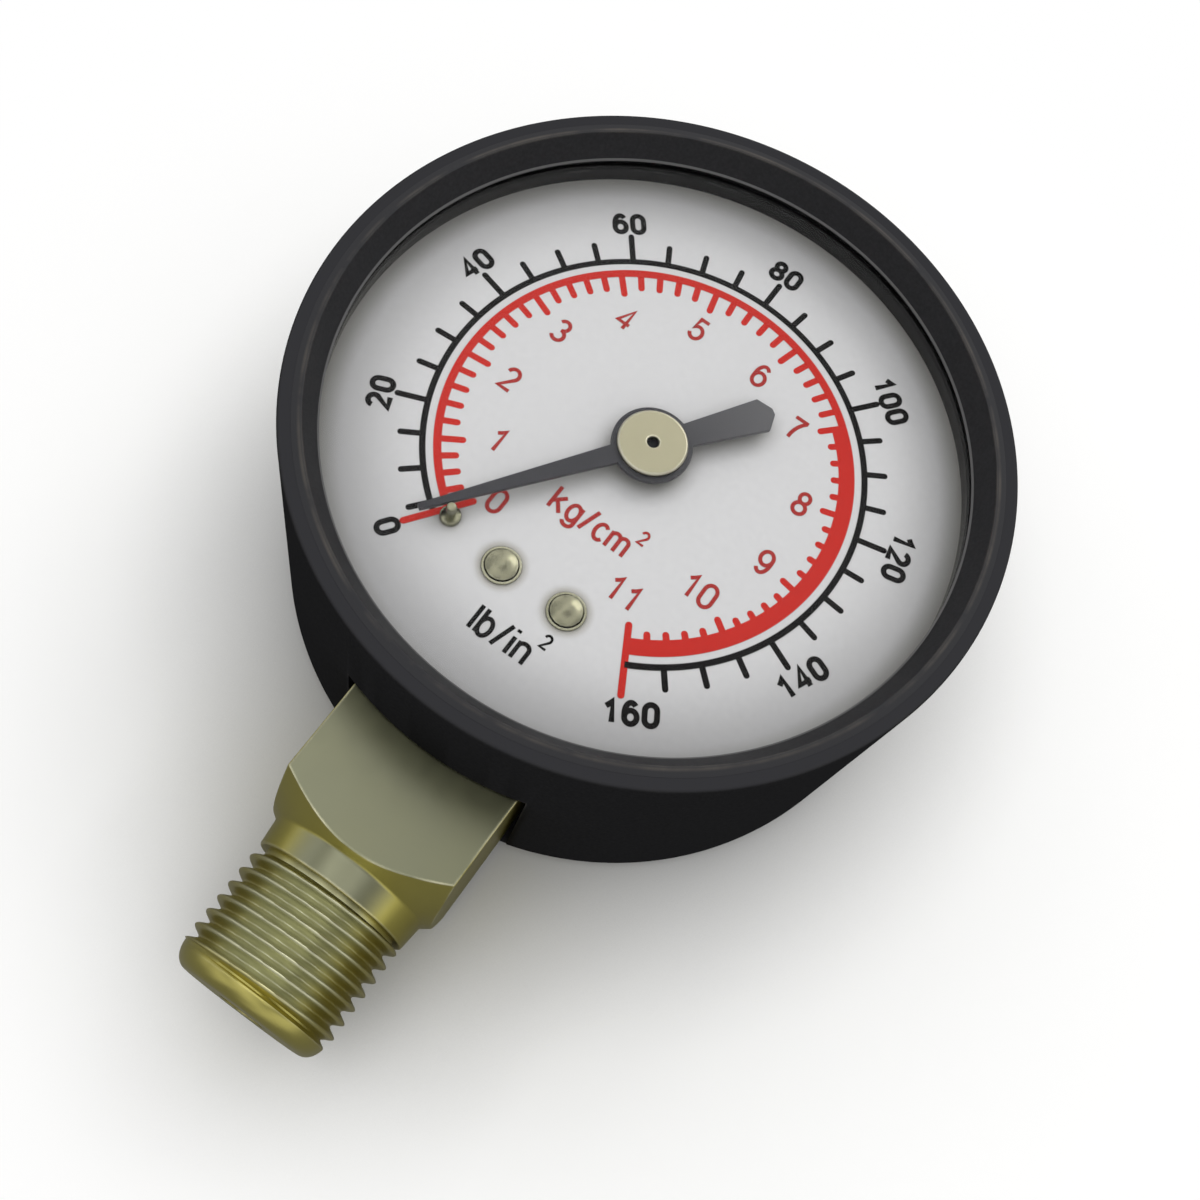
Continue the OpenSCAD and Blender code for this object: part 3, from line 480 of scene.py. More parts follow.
row = thread_pitch / rows_per_turn
thread_rows = int((stem_end - nose_l - thread_start) / row)
threaded = [Vector((thread_r, thread_start + row * k)) for k in range(thread_rows)]
for k in range(nose_steps + 1):
    a = math.pi / 2 * k / nose_steps
    threaded.append(Vector((nose_r - nose_w * (1 - math.cos(a)), stem_end - nose_l * (1 - math.sin(a)))))
bm = bmesh.new()
inside = bm.verts.new((0, 0, square_start))
bottom = bm.verts.new((0, 0, port_depth))
outline = square_outline()
even_start = -math.pi / 4 + math.pi / len(outline) * columns_per_corner
columns = []
for number, point in enumerate(outline):
    r = point.length
    even = even_start + math.tau * number / len(outline)
    shift = (math.atan2(point.y, point.x) - even + math.pi) % math.tau - math.pi
    chamfer_start = square_corner + (square / math.sqrt(2) - r) * square_chamfer
    chamfer_end = Vector((collar_r0, collar_start))
    corner = Vector((r, chamfer_start))
    down_chamfer = (chamfer_end - corner).normalized()
    edge = [corner + down_chamfer * reach for reach in (square_edge / 3, square_edge)]
    chamfer = [corner.lerp(chamfer_end, chamfer_first + chamfer_row * k) for k in range(chamfer_rows)]
    profile = rounded_profile([
        (r, square_start, 0),
        (r, square_start + square_edge, 0),
        (r, chamfer_start - square_edge, 0),
        (r, chamfer_start - square_edge / 3, 0),
        *[(p.x, p.y, 0) for p in edge + chamfer],
        (collar_r0, collar_start, collar_hollow),
        (collar_r1, collar_end, collar_round),
        (groove_r, collar_end, 0),
        (groove_r, thread_start, 0),
    ])
    column = []
    for p in profile + threaded + [Vector((port_r, stem_end)), Vector((port_r, port_depth))]:
        down = (p.y - chamfer_start) / (collar_start - chamfer_start)
        a = even + shift * (1 - min(1, max(0, down)))
        q = thread_cut(p.x, p.y, a) if p.y > thread_start else p.x
        column.append(bm.verts.new((q * math.cos(a), q * math.sin(a), p.y)))
    columns.append(column)
for one, two in zip(columns, columns[1:] + columns[:1]):
    bm.faces.new((inside, two[0], one[0]))
    bm.faces.new((bottom, one[-1], two[-1]))
    for k in range(len(one) - 1):
        bm.faces.new((one[k], two[k], two[k + 1], one[k + 1]))
bm.transform(along_stem)
holder = block("holder", (-block_half, -square_start - beyond, stem_z - block_h / 2),
               (block_half, -block_end, stem_z + block_h / 2))
soften(holder, square_edge)
bm.from_mesh(holder.data)
bpy.data.objects.remove(holder)
socket = to_object("socket_body", bm, 28)

# Tool lines: fine rings that a lathe or mill leaves, along any distance that is fed in
lines_group, lines_in, lines_out = start_group(
    "tool_lines",
    {"Distance": ("Float", 0.0), "Lines": ("Float", 20000.0)},
    {"Height": "Float"},
)
stretched = product(lines_group, lines_in["Distance"], lines_in["Lines"])
lines = add(lines_group, "TexNoise", {"W": stretched, "Scale": 1.0, "Detail": 2.0}, noise_dimensions="1D")
lines_group.links.new(lines.outputs["Fac"], lines_out["Height"])


film_steepest = 0.7
film_glaze = 0.8


def machined_metal(name, colour, rubbed_highlight, shiniest, dullest, distance, lines=20000.0, depth=0.1, wear_highlight=0.6,
                   dust=None, dust_and_sheen_share=None, bare_tone_and_sheen=None):
    """Machined metal. Functions make the sockets for the distance its tool lines follow and for its dust."""
    made, tree, shader = new_material(name, {"Metallic": 1.0})
    amount = dust_and_sheen_share(tree) if dust_and_sheen_share else 0.0
    tone = mix_colours(tree, amount, bare_tone_and_sheen(tree), colour) if bare_tone_and_sheen else colour
    grain = place_group(tree, grain_group, {"Colour": tone, "Fineness": 2500.0, "Contrast": 0.06})
    film = place_group(tree, dust_and_sheen_group, {
        "Colour": grain["Colour"], "Dust": dust or colour, "Amount": amount, "Steepest": film_steepest,
    })
    # Paler edges: partly wear, partly a painted highlight.
    rub_highlight = wear_highlight(tree) if callable(wear_highlight) else wear_highlight
    edges = place_group(tree, edge_highlight_group, {
        "Colour": film["Colour"], "Rubbed_Highlight": rubbed_highlight, "Amount": rub_highlight, "Reach": edge_highlight_reach,
    })
    gloss = place_group(tree, handling_group, {"Shiniest": shiniest, "Dullest": dullest, "Patches": 900.0})
    marks = place_group(tree, lines_group, {"Distance": distance(tree), "Lines": lines})
    bump = add(tree, "Bump", {"Height": marks["Height"], "Strength": depth, "Distance": 0.01 * MM})
    feed(tree, shader, Base_Color=edges["Colour"], Roughness=gloss["Roughness"], Normal=bump.outputs[0])
    if dust:
        feed(tree, shader, Coat_Weight=product(tree, film["Mask"], film_glaze))
    return made


def along_y(tree):
    """Distance along the stem."""
    place = add(tree, "TexCoord").outputs["Object"]
    return add(tree, "SeparateXYZ", {0: place}).outputs["Y"]


def from_centre(tree):
    """Distance from the dial's axis."""
    place = add(tree, "TexCoord").outputs["Object"]
    flat = add(tree, "VectorMath", {0: place, 1: (1, 1, 0)}, operation="MULTIPLY")
    return add(tree, "VectorMath", {0: flat.outputs[0]}, operation="LENGTH").outputs["Value"]


def off_thread(tree):
    """Dust and painted sheen on the square and the collar, and little on the thread."""
    return ranged(tree, along_y(tree), -thread_start, -collar_end, 0.0, 0.95)


def square_edges(tree):
    """Wear and painted highlight on the square's edges, and less on the thread's crests."""
    return ranged(tree, along_y(tree), -thread_start, -collar_end, 0.35, 1.6)


def thread_tone(tree):
    """Yellow brass at the nose and low on the thread, with a painted grey sky reflection along the thread's
    top.
    """
    place = add(tree, "TexCoord").outputs["Object"]
    height = add(tree, "SeparateXYZ", {0: place}).outputs["Z"]
    top = ranged(tree, height, stem_z + groove_r / 2, stem_z + groove_r, smooth=True)
    nose = ranged(tree, along_y(tree), -stem_end + nose_l, -stem_end + nose_l + runout)
    return mix_colours(tree, product(tree, top, nose), (0.42, 0.375, 0.112, 1), (0.49, 0.49, 0.325, 1))


# The film's colour on the upward faces of the square and collar partly paints the sky's grey sheen, the
# thread's greyer top is a painted sky reflection, and the paler edges are partly a painted highlight.
stem_brass = machined_metal(
    "stem_brass",
    colour=(0.43, 0.380, 0.090, 1),
    rubbed_highlight=(0.80, 0.76, 0.50, 1),
    shiniest=0.29,
    dullest=0.35,
    distance=along_y,
    wear_highlight=square_edges,
    dust=(0.190, 0.198, 0.129, 1),
    dust_and_sheen_share=off_thread,
    bare_tone_and_sheen=thread_tone,
)
shader = stem_brass.node_tree.nodes["Principled BSDF"]
shader.inputs["Coat IOR"].default_value = 1.6
shader.inputs["Coat Roughness"].default_value = 0.22
wear(socket, stem_brass)
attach(socket, "gauge")
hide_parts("socket")

# Restrictor and case screws
# A brass plug with a fine orifice is pressed into the port, and two countersunk steel screws come through
# the case's back into the holder block. Both are turned.

pale_brass = machined_metal(
    "pale_brass",
    colour=(0.345, 0.325, 0.222, 1),
    rubbed_highlight=(0.80, 0.77, 0.60, 1),
    shiniest=0.30,
    dullest=0.38,
    distance=from_centre,
    depth=0.002,
    wear_highlight=1.2,
)
steel = machined_metal(
    "steel",
    colour=(0.50, 0.50, 0.51, 1),
    rubbed_highlight=(0.65, 0.65, 0.66, 1),
    shiniest=0.25,
    dullest=0.36,
    distance=from_centre,
)
wear(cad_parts["restrictor"], pale_brass)
wear(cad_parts["case_screws"], steel)

# Bourdon tube and its tip
# A flattened bronze tube bent to a C, soldered into the holder block at its root. Pressure uncurls it, so
# it bends between the block and the brass tip piece that closes its free end.

tube_low, tube_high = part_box("bourdon_tube")
tube_half_h = (tube_high.z - tube_low.z) / 2
tube_half_w = 0.9 * MM
tube_wall = 0.3 * MM
tube_line_r = tube_high.y - tube_half_w
tube_root = math.radians(262)
tube_end = math.radians(-15)
tube_steps = 120
round_steps = 8


def tube_outline(grow):
    """Outline of the flattened tube as offsets from its centre line, outward and upward."""
    r = tube_half_w + grow
    flat = tube_half_h - tube_half_w
    turns = [math.pi * k / round_steps for k in range(round_steps + 1)]
    upper = [(r * math.cos(a), flat + r * math.sin(a)) for a in turns]
    return upper + [(-out, -up) for out, up in upper]


bm = bmesh.new()
stations = []
for k in range(tube_steps + 1):
    a = tube_root + (tube_end - tube_root) * k / tube_steps
    loops = []
    for grow in (0, -tube_wall):
        loop = []
        for out, up in tube_outline(grow):
            r = tube_line_r + out
            loop.append(bm.verts.new((r * math.cos(a), r * math.sin(a), stem_z + up)))
        loops.append(loop)
    stations.append(loops)
count = len(stations[0][0])
for one, two in zip(stations, stations[1:]):
    for side in (0, 1):
        for k in range(count):
            n = (k + 1) % count
            bm.faces.new((one[side][k], one[side][n], two[side][n], two[side][k]))
for outer, inner in (stations[0], stations[-1]):
    for k in range(count):
        n = (k + 1) % count
        bm.faces.new((outer[k], outer[n], inner[n], inner[k]))
tube = to_object("spring_tube", bm)
spring_bronze = machined_metal(
    "spring_bronze",
    colour=(0.50, 0.32, 0.16, 1),
    rubbed_highlight=(0.62, 0.45, 0.28, 1),
    shiniest=0.25,
    dullest=0.4,
    distance=from_centre,
)
wear(tube, spring_bronze)
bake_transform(tube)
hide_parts("bourdon_tube")
movement_brass = machined_metal(
    "movement_brass",
    colour=(0.55, 0.44, 0.20, 1),
    rubbed_highlight=(0.70, 0.62, 0.40, 1),
    shiniest=0.24,
    dullest=0.38,
    distance=along_y,
    lines=9000.0,
)
wear(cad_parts["tube_tip"], movement_brass)
wear(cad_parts["tip_pin"], steel)

# Movement
# Two stamped brass plates on three pillars carry the toothed sector and the pinion. A link joins the
# tube's tip to the sector's tail, and a bronze hairspring on the pinion takes up the play between the
# teeth.

for name in ("movement_back_plate", "movement_front_plate", "movement_pillars", "sector_gear", "link",
             "hairspring_collet", "hairspring_stud", "dial_posts"):
    wear(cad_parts[name], movement_brass)
for name in ("plate_screws", "movement_screws", "sector_arbor", "link_pin"):
    wear(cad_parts[name], steel)
blued_steel = machined_metal(
    "blued_steel",
    colour=(0.010, 0.010, 0.012, 1),
    rubbed_highlight=(0.04, 0.04, 0.045, 1),
    shiniest=0.4,
    dullest=0.5,
    distance=from_centre,
)
wear(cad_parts["pinion"], blued_steel)
wear(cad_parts["hairspring"], spring_bronze)

# Dial
# A stamped sheet of metal with a matt white lacquer, which shows a faint orange peel. Painted shade greys
# it towards the rim, round a middle a little off the axis. It lies on the ledge in the case, and painted
# shade rings its two screws.

# Corner shade: a painted soft shadow where a face runs in under its neighbours
shade_group, shade_in, shade_out = start_group(
    "corner_shade",
    {
        "Colour": ("Color", (0.5, 0.5, 0.5, 1)),
        "Shade": ("Color", (0.3, 0.3, 0.3, 1)),
        "Reach": ("Float", 0.001),
    },
    {"Colour": "Color"},
)
open_to = add(shade_group, "AmbientOcclusion", {"Distance": shade_in["Reach"]}, samples=8).outputs["AO"]
open_to = ranged(shade_group, open_to, 0.4, 1.0)
shaded = mix_colours(shade_group, open_to, shade_in["Shade"], shade_in["Colour"])
shade_group.links.new(shaded, shade_out["Colour"])

shade_free_middle = Vector((0, 0.9, 0)) * MM
shade_free_r = 13.0 * MM
rim_shade_r = 18.6 * MM
rim_shade_tone = 0.65
corner_reach = 1.4 * MM
screws_low, screws_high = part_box("dial_screws")
screw_shift = Vector((-0.03, 0.12, 0)) * MM
flange_r = 1.12 * MM
screw_shade_w = 0.55 * MM
screw_shade_most = 0.65
screw_y = (screws_low.y + screws_high.y) / 2
screw_xs = (screws_low.x + flange_r, screws_high.x - flange_r)
screw_places = [Vector((x, screw_y, 0)) + screw_shift for x in screw_xs]

dial_lacquer, tree, shader = new_material("dial_lacquer", {"IOR": 1.45})
white = (0.748, 0.748, 0.755, 1)
grain = place_group(tree, grain_group, {"Colour": white, "Fineness": 2600.0, "Contrast": 0.10})
gloss = place_group(tree, handling_group, {"Shiniest": 0.5, "Dullest": 0.65, "Patches": 120.0})
peel = add(tree, "Bump", {"Height": grain["Height"], "Strength": 0.05, "Distance": 0.01 * MM})
place = add(tree, "TexCoord").outputs["Object"]
place = add(tree, "VectorMath", {0: place, 1: (1, 1, 0)}, operation="MULTIPLY").outputs["Vector"]
out = add(tree, "VectorMath", {0: place, 1: shade_free_middle}, operation="DISTANCE").outputs["Value"]
# Painted shade: the white greys towards the rim, round a middle a little off the axis.
rim = ranged(tree, out, shade_free_r, rim_shade_r, 1.0, rim_shade_tone, smooth=True)
toned = add(tree, "VectorMath", {0: grain["Colour"], "Scale": rim}, operation="SCALE").outputs["Vector"]
# Painted shade: a darker ring on the white round each screw's flange.
for at in screw_places:
    out = add(tree, "VectorMath", {0: place, 1: at}, operation="DISTANCE").outputs["Value"]
    screw_shade = ranged(tree, out, flange_r + screw_shade_w, flange_r, 0.0, screw_shade_most, smooth=True)
    toned = mix_colours(tree, screw_shade, toned, (0.36, 0.34, 0.28, 1))
# Painted shade where the dial runs in under the ring, and under the pointer and hub.
corner = place_group(tree, shade_group, {
    "Colour": toned, "Shade": (0.30, 0.295, 0.27, 1), "Reach": corner_reach,
})
feed(tree, shader, Base_Color=corner["Colour"], Roughness=gloss["Roughness"], Normal=peel.outputs[0])
wear(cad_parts["dial"], dial_lacquer)

# Scales
# Two scales are screen printed on the dial: a black one outside, in pounds per square inch, and a red one
# inside, in kilograms per square centimetre. The ink stands a hundredth of a millimetre proud.

ink_black_h = 0.012 * MM
ink_red_h = 0.016 * MM
ink_rise = 0.0001 * MM
ink_over = 0.004 * MM
scale_zero = 235.1
black_start = 241.84
black_step = 9.49
black_steps = 32
black_long = 4
black_r = 12.70 * MM
black_stroke = 0.35 * MM
black_tick = 14.1 * MM
black_tick_long = 14.62 * MM
black_arc_steps = 200
red_marks = [scale_zero, 214.4, 186.3, 158.6, 131.7, 103.1, 74.4, 47.0, 18.9, -9.4, -34.6, -62.0]
red_first_parts = 4
red_parts = 5
red_in = 11.65 * MM
red_out = 12.10 * MM
red_stroke = 0.38 * MM
red_tick = 10.68 * MM
red_tick_long = 10.28 * MM
red_band_from = 7
red_band_in = 11.16 * MM
red_arc_steps = 140
red_band_steps = 80
end_line_in = 10.25 * MM
end_line_out = 14.62 * MM


def slab(bm, outline, height):
    """A flat patch of ink: an outline raised off the dial's face."""
    bottom = [bm.verts.new((x, y, dial_face)) for x, y in outline]
    top = [bm.verts.new((x, y, dial_face + height)) for x, y in outline]
    bm.faces.new(top)
    bm.faces.new(bottom[::-1])
    for k in range(len(outline)):
        n = (k + 1) % len(outline)
        bm.faces.new((bottom[k], bottom[n], top[n], top[k]))


def ribbon(bm, path, width, height, sharpest=1.5):
    """A printed line of one width along a path, with mitred corners; a path back to its start is closed."""
    closed = (path[0] - path[-1]).length < width / 100
    points = path[:-1] if closed else path
    count = len(points)
    sides = []
    for k, point in enumerate(points):
        before = points[k - 1] if closed or k else point
        after = points[(k + 1) % count] if closed or k < count - 1 else point
        one = (point - before).normalized() if point != before else (after - point).normalized()
        two = (after - point).normalized() if point != after else one
        across = (one + two).normalized().orthogonal()
        mitre = min(sharpest, 1 / max(0.01, across.dot(one.orthogonal())))
        sides.append([point + across * (width / 2 * mitre * way) for way in (1, -1)])
    last = count if closed else count - 1
    for k in range(last):
        (a, b), (c, d) = sides[k], sides[(k + 1) % count]
        slab(bm, [a, b, d, c], height + ink_rise * k)


def arc_path(r, start, end, steps):
    """Points on a circle round the dial's axis, between two angles in degrees."""
    turns = [math.radians(start + (end - start) * k / steps) for k in range(steps + 1)]
    return [Vector((r * math.cos(a), r * math.sin(a))) for a in turns]


def tick(bm, r0, r1, degrees, width, height, round_start, round_end, steps=6):
    """A printed radial line whose ends may be round."""
    half = width / 2
    turns = [math.pi * (k / steps - 0.5) for k in range(steps + 1)]
    outer = [(r1 - half + half * math.cos(t), half * math.sin(t)) for t in turns]
    inner = [(r0 + half - half * math.cos(t), -half * math.sin(t)) for t in turns]
    if not round_end:
        outer = [(r1, -half), (r1, half)]
    if not round_start:
        inner = [(r0, half), (r0, -half)]
    turn = Matrix.Rotation(math.radians(degrees), 2)
    slab(bm, [turn @ Vector(point) for point in outer + inner], height)


def printed(name, bm, ink):
    """Finishes a printed piece and fixes it to the dial."""
    made = to_object(name, bm, 20)
    wear(made, ink)
    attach(made, "gauge")


def printing_ink(name, colour):
    """Matt screen ink with a slight fleck."""
    made, tree, shader = new_material(name, {"IOR": 1.45, "Specular IOR Level": 0.08})
    grain = place_group(tree, grain_group, {"Colour": colour, "Fineness": 6000.0, "Contrast": 0.25})
    gloss = place_group(tree, handling_group, {"Shiniest": 0.45, "Dullest": 0.6, "Patches": 300.0})
    feed(tree, shader, Base_Color=grain["Colour"], Roughness=gloss["Roughness"])
    return made


black_ink = printing_ink("black_ink", (0.006, 0.0055, 0.0055, 1))
red_ink = printing_ink("red_ink", (0.64, 0.030, 0.022, 1))

bm = bmesh.new()
scale_end = red_marks[-1]
ribbon(bm, arc_path(black_r, scale_zero, scale_end, black_arc_steps), black_stroke, ink_black_h)
for k in range(1, black_steps):
    reach = black_tick_long if k % black_long == 0 else black_tick
    tick(bm, black_r, reach, black_start - black_step * k, black_stroke, ink_black_h / 2, False, True)
printed("scale_black", bm, black_ink)

bm = bmesh.new()
band_start = red_marks[red_band_from] + math.degrees(red_stroke / 2 / red_out)
red_middle = (red_in + red_out) / 2
band_middle = (red_band_in + red_out) / 2
ribbon(bm, arc_path(red_middle, scale_zero, band_start, red_arc_steps), red_out - red_in, ink_red_h)
ribbon(bm, arc_path(band_middle, band_start, scale_end, red_band_steps), red_out - red_band_in, ink_red_h)
for number, (mark, following) in enumerate(zip(red_marks, red_marks[1:])):
    parts = red_parts if number else red_first_parts
    foot = red_band_in if number >= red_band_from else red_in
    for k in range(parts):
        reach = red_tick if k else red_tick_long
        if number or k:
            degrees = mark + (following - mark) * k / parts
            tick(bm, reach, foot, degrees, red_stroke, ink_red_h / 2, True, False)
for mark in (scale_zero, scale_end):
    tick(bm, end_line_in, end_line_out, mark, red_stroke, ink_red_h + 2 * ink_over, True, True)
printed("scale_red", bm, red_ink)

# Numbers
# Bold black numbers stand round the outer scale and lighter red ones inside the inner scale, with the two
# unit signs below the middle. They are printed with the scales, in a plain sans letter drawn with one
# width of pen.

black_number_r = 15.35 * MM
black_number_h = 1.48 * MM
black_pen = 0.31 * MM
black_wide = 1.15
black_places = {
    0: 235.4, 20: 204.7, 40: 165.6, 60: 128.2, 80: 90.2, 100: 52.0, 120: 13.8, 140: 337.6, 160: 300.5,
}
flipped_from = 140
red_number_h = 1.64 * MM
red_pen = 0.22 * MM
red_wide = 1.05
red_gap = 0.24
red_places = [
    (-4.96, -7.73), (-7.19, -4.66), (-8.85, -1.11), (-8.41, 3.35), (-5.93, 6.50), (-2.19, 8.68),
    (2.39, 8.47), (5.89, 6.84), (8.69, 2.98), (8.89, -1.41), (6.95, -5.13), (3.57, -7.84),
]
upright = math.pi / 2
unit_black_at = Vector((-0.20, -13.85)) * MM
unit_black_h = 1.74 * MM
unit_black_pen = 0.24 * MM
unit_black_wide = 1.16
unit_black_gap = 0.26
unit_red_at = Vector((-0.18, -5.48)) * MM
unit_red_h = 1.66 * MM
unit_red_wide = 1.18
unit_red_gap = 0.235
squared_h = 0.95 * MM
squared_pen = 0.14 * MM
squared_black_at = Vector((1.93, -12.75)) * MM
squared_red_at = Vector((2.72, -4.50)) * MM
arc_part = 12

# Each character is a list of pen strokes in a box one unit high. A stroke's items are points (x, y) and
# arcs (x, y, radius across, radius up, from, to) in degrees.
characters = {
    "0": [[(0.25, 0.70, 0.25, 0.30, 0, 180), (0.25, 0.30, 0.25, 0.30, 180, 360), (0.50, 0.70)]],
    "1": [[(0.06, 0.74), (0.20, 0.85), (0.31, 1.0), (0.31, 0.0)]],
    "2": [[(0.25, 0.73, 0.24, 0.27, 170, -35), (0.0, 0.0), (0.50, 0.0)]],
    "3": [[(0.24, 0.76, 0.215, 0.24, 155, -90), (0.24, 0.26, 0.25, 0.26, 90, -155)]],
    "4": [[(0.38, 0.0), (0.38, 1.0), (0.0, 0.27), (0.53, 0.27)]],
    "5": [[(0.46, 1.0), (0.11, 1.0), (0.045, 0.49), (0.24, 0.315, 0.25, 0.315, 130, -160)]],
    "6": [[(0.255, 0.5, 0.255, 0.5, 45, 180), (0.25, 0.315, 0.25, 0.315, 180, 540)]],
    "7": [[(0.0, 1.0), (0.50, 1.0), (0.90, 0.0, 0.73, 1.13, 123, 180)]],
    "8": [[(0.25, 0.765, 0.205, 0.235, 0, 360)], [(0.25, 0.265, 0.25, 0.265, 0, 360)]],
    "9": [[(0.245, 0.5, 0.255, 0.5, 225, 360), (0.25, 0.685, 0.25, 0.315, 0, 360)]],
    "/": [[(0.0, -0.02), (0.28, 1.02)]],
    "b": [[(0.0, 0.0), (0.0, 1.0)], [(0.20, 0.36, 0.20, 0.36, 0, 360)]],
    "c": [[(0.20, 0.36, 0.20, 0.36, 45, 315)]],
    "g": [[(0.20, 0.36, 0.20, 0.36, 0, 360)], [(0.40, 0.72), (0.21, -0.08, 0.19, 0.19, 0, -165)]],
    "i": [[(0.0, 0.0), (0.0, 0.72)], [(0.0, 0.93), (0.0, 1.04)]],
    "k": [[(0.0, 0.0), (0.0, 1.0)], [(0.38, 0.72), (0.0, 0.30)], [(0.14, 0.45), (0.42, 0.0)]],
    "l": [[(0.0, 0.0), (0.0, 1.0)]],
    "m": [
        [(0.0, 0.0), (0.0, 0.72)],
        [(0.16, 0.54, 0.16, 0.18, 180, 0), (0.32, 0.0)],
        [(0.48, 0.54, 0.16, 0.18, 180, 0), (0.64, 0.0)],
    ],
    "n": [[(0.0, 0.0), (0.0, 0.72)], [(0.19, 0.53, 0.19, 0.19, 180, 0), (0.38, 0.0)]],
}


def pen_path(stroke):
    """The points of one pen stroke, with its arcs drawn out."""
    points = []
    for item in stroke:
        if len(item) == 2:
            points.append(Vector(item))
            continue
        x, y, across, up, start, end = item
        steps = math.ceil(abs(end - start) / arc_part)
        for k in range(steps + 1):
            a = math.radians(start + (end - start) * k / steps)
            points.append(Vector((x + across * math.cos(a), y + up * math.sin(a))))
    return points


def lettering(bm, words, at, height, up, ink_h, pen, wide=1.0, gap=0.35):
    """Printed words of a height, centred at a place, with their tops towards an angle up."""
    tall = height - pen
    paths = []
    start = 0
    for letter in words:
        strokes = [pen_path(stroke) for stroke in characters[letter]]
        paths += [[Vector((start + p.x * wide, p.y)) * tall for p in path] for path in strokes]
        width = 0.5 if letter.isdigit() else max(p.x for path in strokes for p in path)
        start += width * wide + gap
    xs = [p.x for path in paths for p in path]
    middle = Vector(((min(xs) + max(xs)) / 2, tall / 2))
    turn = Matrix.Rotation(up - upright, 2)
    for k, path in enumerate(paths):
        ribbon(bm, [turn @ (p - middle) + Vector(at) for p in path], pen, ink_h + ink_over * (k % 3))


def on_circle(r, degrees):
    """A place on the dial by its distance from the axis and its angle."""
    a = math.radians(degrees)
    return r * math.cos(a), r * math.sin(a)


bm = bmesh.new()
for value, degrees in black_places.items():
    outward = math.radians(degrees)
    up = outward + math.pi if value >= flipped_from else outward
    at = on_circle(black_number_r, degrees)
    lettering(bm, str(value), at, black_number_h, up, ink_black_h, black_pen, black_wide)
lettering(bm, "lb/in", unit_black_at, unit_black_h, upright, ink_black_h, unit_black_pen,
          unit_black_wide, unit_black_gap)
lettering(bm, "2", squared_black_at, squared_h, upright, ink_black_h, squared_pen)
printed("numbers_black", bm, black_ink)

bm = bmesh.new()
for value, place in enumerate(red_places):
    at = Vector(place) * MM
    lettering(bm, str(value), at, red_number_h, upright, ink_red_h, red_pen, red_wide, red_gap)
lettering(bm, "kg/cm", unit_red_at, unit_red_h, upright, ink_red_h, red_pen, unit_red_wide, unit_red_gap)
lettering(bm, "2", squared_red_at, squared_h, upright, ink_red_h, squared_pen)
printed("numbers_red", bm, printing_ink("fine_red_ink", (0.44, 0.040, 0.036, 1)))

# Dial screws
# Two screws of pale plated brass with a domed head and a thin flange, turned and polished. They go
# through the dial into its posts.

flange_t = 0.10 * MM
flange_round = 0.04 * MM
flange_groove = 0.06 * MM
dome_r = 0.92 * MM
dome_side = 0.19 * MM
dome_rise = 0.19 * MM
dome_round = 0.05 * MM
dome_steps = 12
dome_ball = (dome_r ** 2 + dome_rise ** 2) / (2 * dome_rise)
dome_tilt = math.asin(dome_r / dome_ball)
screw_r = 0.46 * MM
dome = []
for k in range(1, dome_steps):
    tilt = dome_tilt * (1 - k / dome_steps)
    rise = dome_ball * (math.cos(tilt) - math.cos(dome_tilt))
    dome.append((dome_ball * math.sin(tilt), dial_face + dome_side + rise, 0))
profile = rounded_profile([
    (0, screws_low.z, 0),
    (screw_r, screws_low.z, 0),
    (screw_r, dial_face, 0),
    (flange_r, dial_face, 0),
    (flange_r, dial_face + flange_t, flange_round),
    (dome_r + flange_groove, dial_face + flange_t, 0),
    (dome_r, dial_face + flange_t / 10, 0),
    (dome_r, dial_face + dome_side, dome_round),
    *dome,
    (0, dial_face + dome_side + dome_rise, 0),
])
pair = []
for at in screw_places:
    one = lathe("dial_screw", profile, 96, closed=False)
    one.data.transform(Matrix.Translation(at))
    pair.append(one)
combine(pair[0], pair[1], "UNION")
dial_screws = pair[0]
dial_screws.name = "dial_screw_pair"
nickel_brass = machined_metal(
    "nickel_brass",
    colour=(0.255, 0.250, 0.172, 1),
    rubbed_highlight=(0.55, 0.54, 0.42, 1),
    shiniest=0.19,
    dullest=0.24,
    distance=from_centre,
    depth=0.002,
    wear_highlight=0.3,
)
wear(dial_screws, nickel_brass)
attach(dial_screws, "gauge")
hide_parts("dial_screws")

# Stop pin
# A turned pin of pale plated brass with a flange, riveted through the dial. The pointer comes to rest on
# it when there is no pressure.

pin_low, pin_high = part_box("stop_pin")
pin_at = (pin_low + pin_high) / 2
pin_r = 0.29 * MM
pin_flange_r = (pin_high.x - pin_low.x) / 2
pin_flange_t = 0.3 * MM
pin_rivet_r = 0.44 * MM
rivet_round = 0.05 * MM
pin_flange_round = 0.1 * MM
pin_round = 0.12 * MM
pin = lathe("stop_pin_turned", rounded_profile([
    (0, pin_low.z, 0),
    (pin_rivet_r, pin_low.z, rivet_round),
    (pin_rivet_r, dial_under, 0),
    (pin_r, dial_under, 0),
    (pin_r, dial_face, 0),
    (pin_flange_r, dial_face, 0),
    (pin_flange_r, dial_face + pin_flange_t, pin_flange_round),
    (pin_r, dial_face + pin_flange_t, 0),
    (pin_r, pin_high.z, pin_round),
    (0, pin_high.z, 0),
]), 64, closed=False)
pin.data.transform(Matrix.Translation((pin_at.x, pin_at.y, 0)))
wear(pin, nickel_brass)
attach(pin, "gauge")
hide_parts("stop_pin")

# Pointer
# A blade with a flared tail and a disc in its middle, stamped from thin sheet and pressed on the hub. Its
# slate lacquer is sprayed, and a painted reflection makes it paler towards the tail.

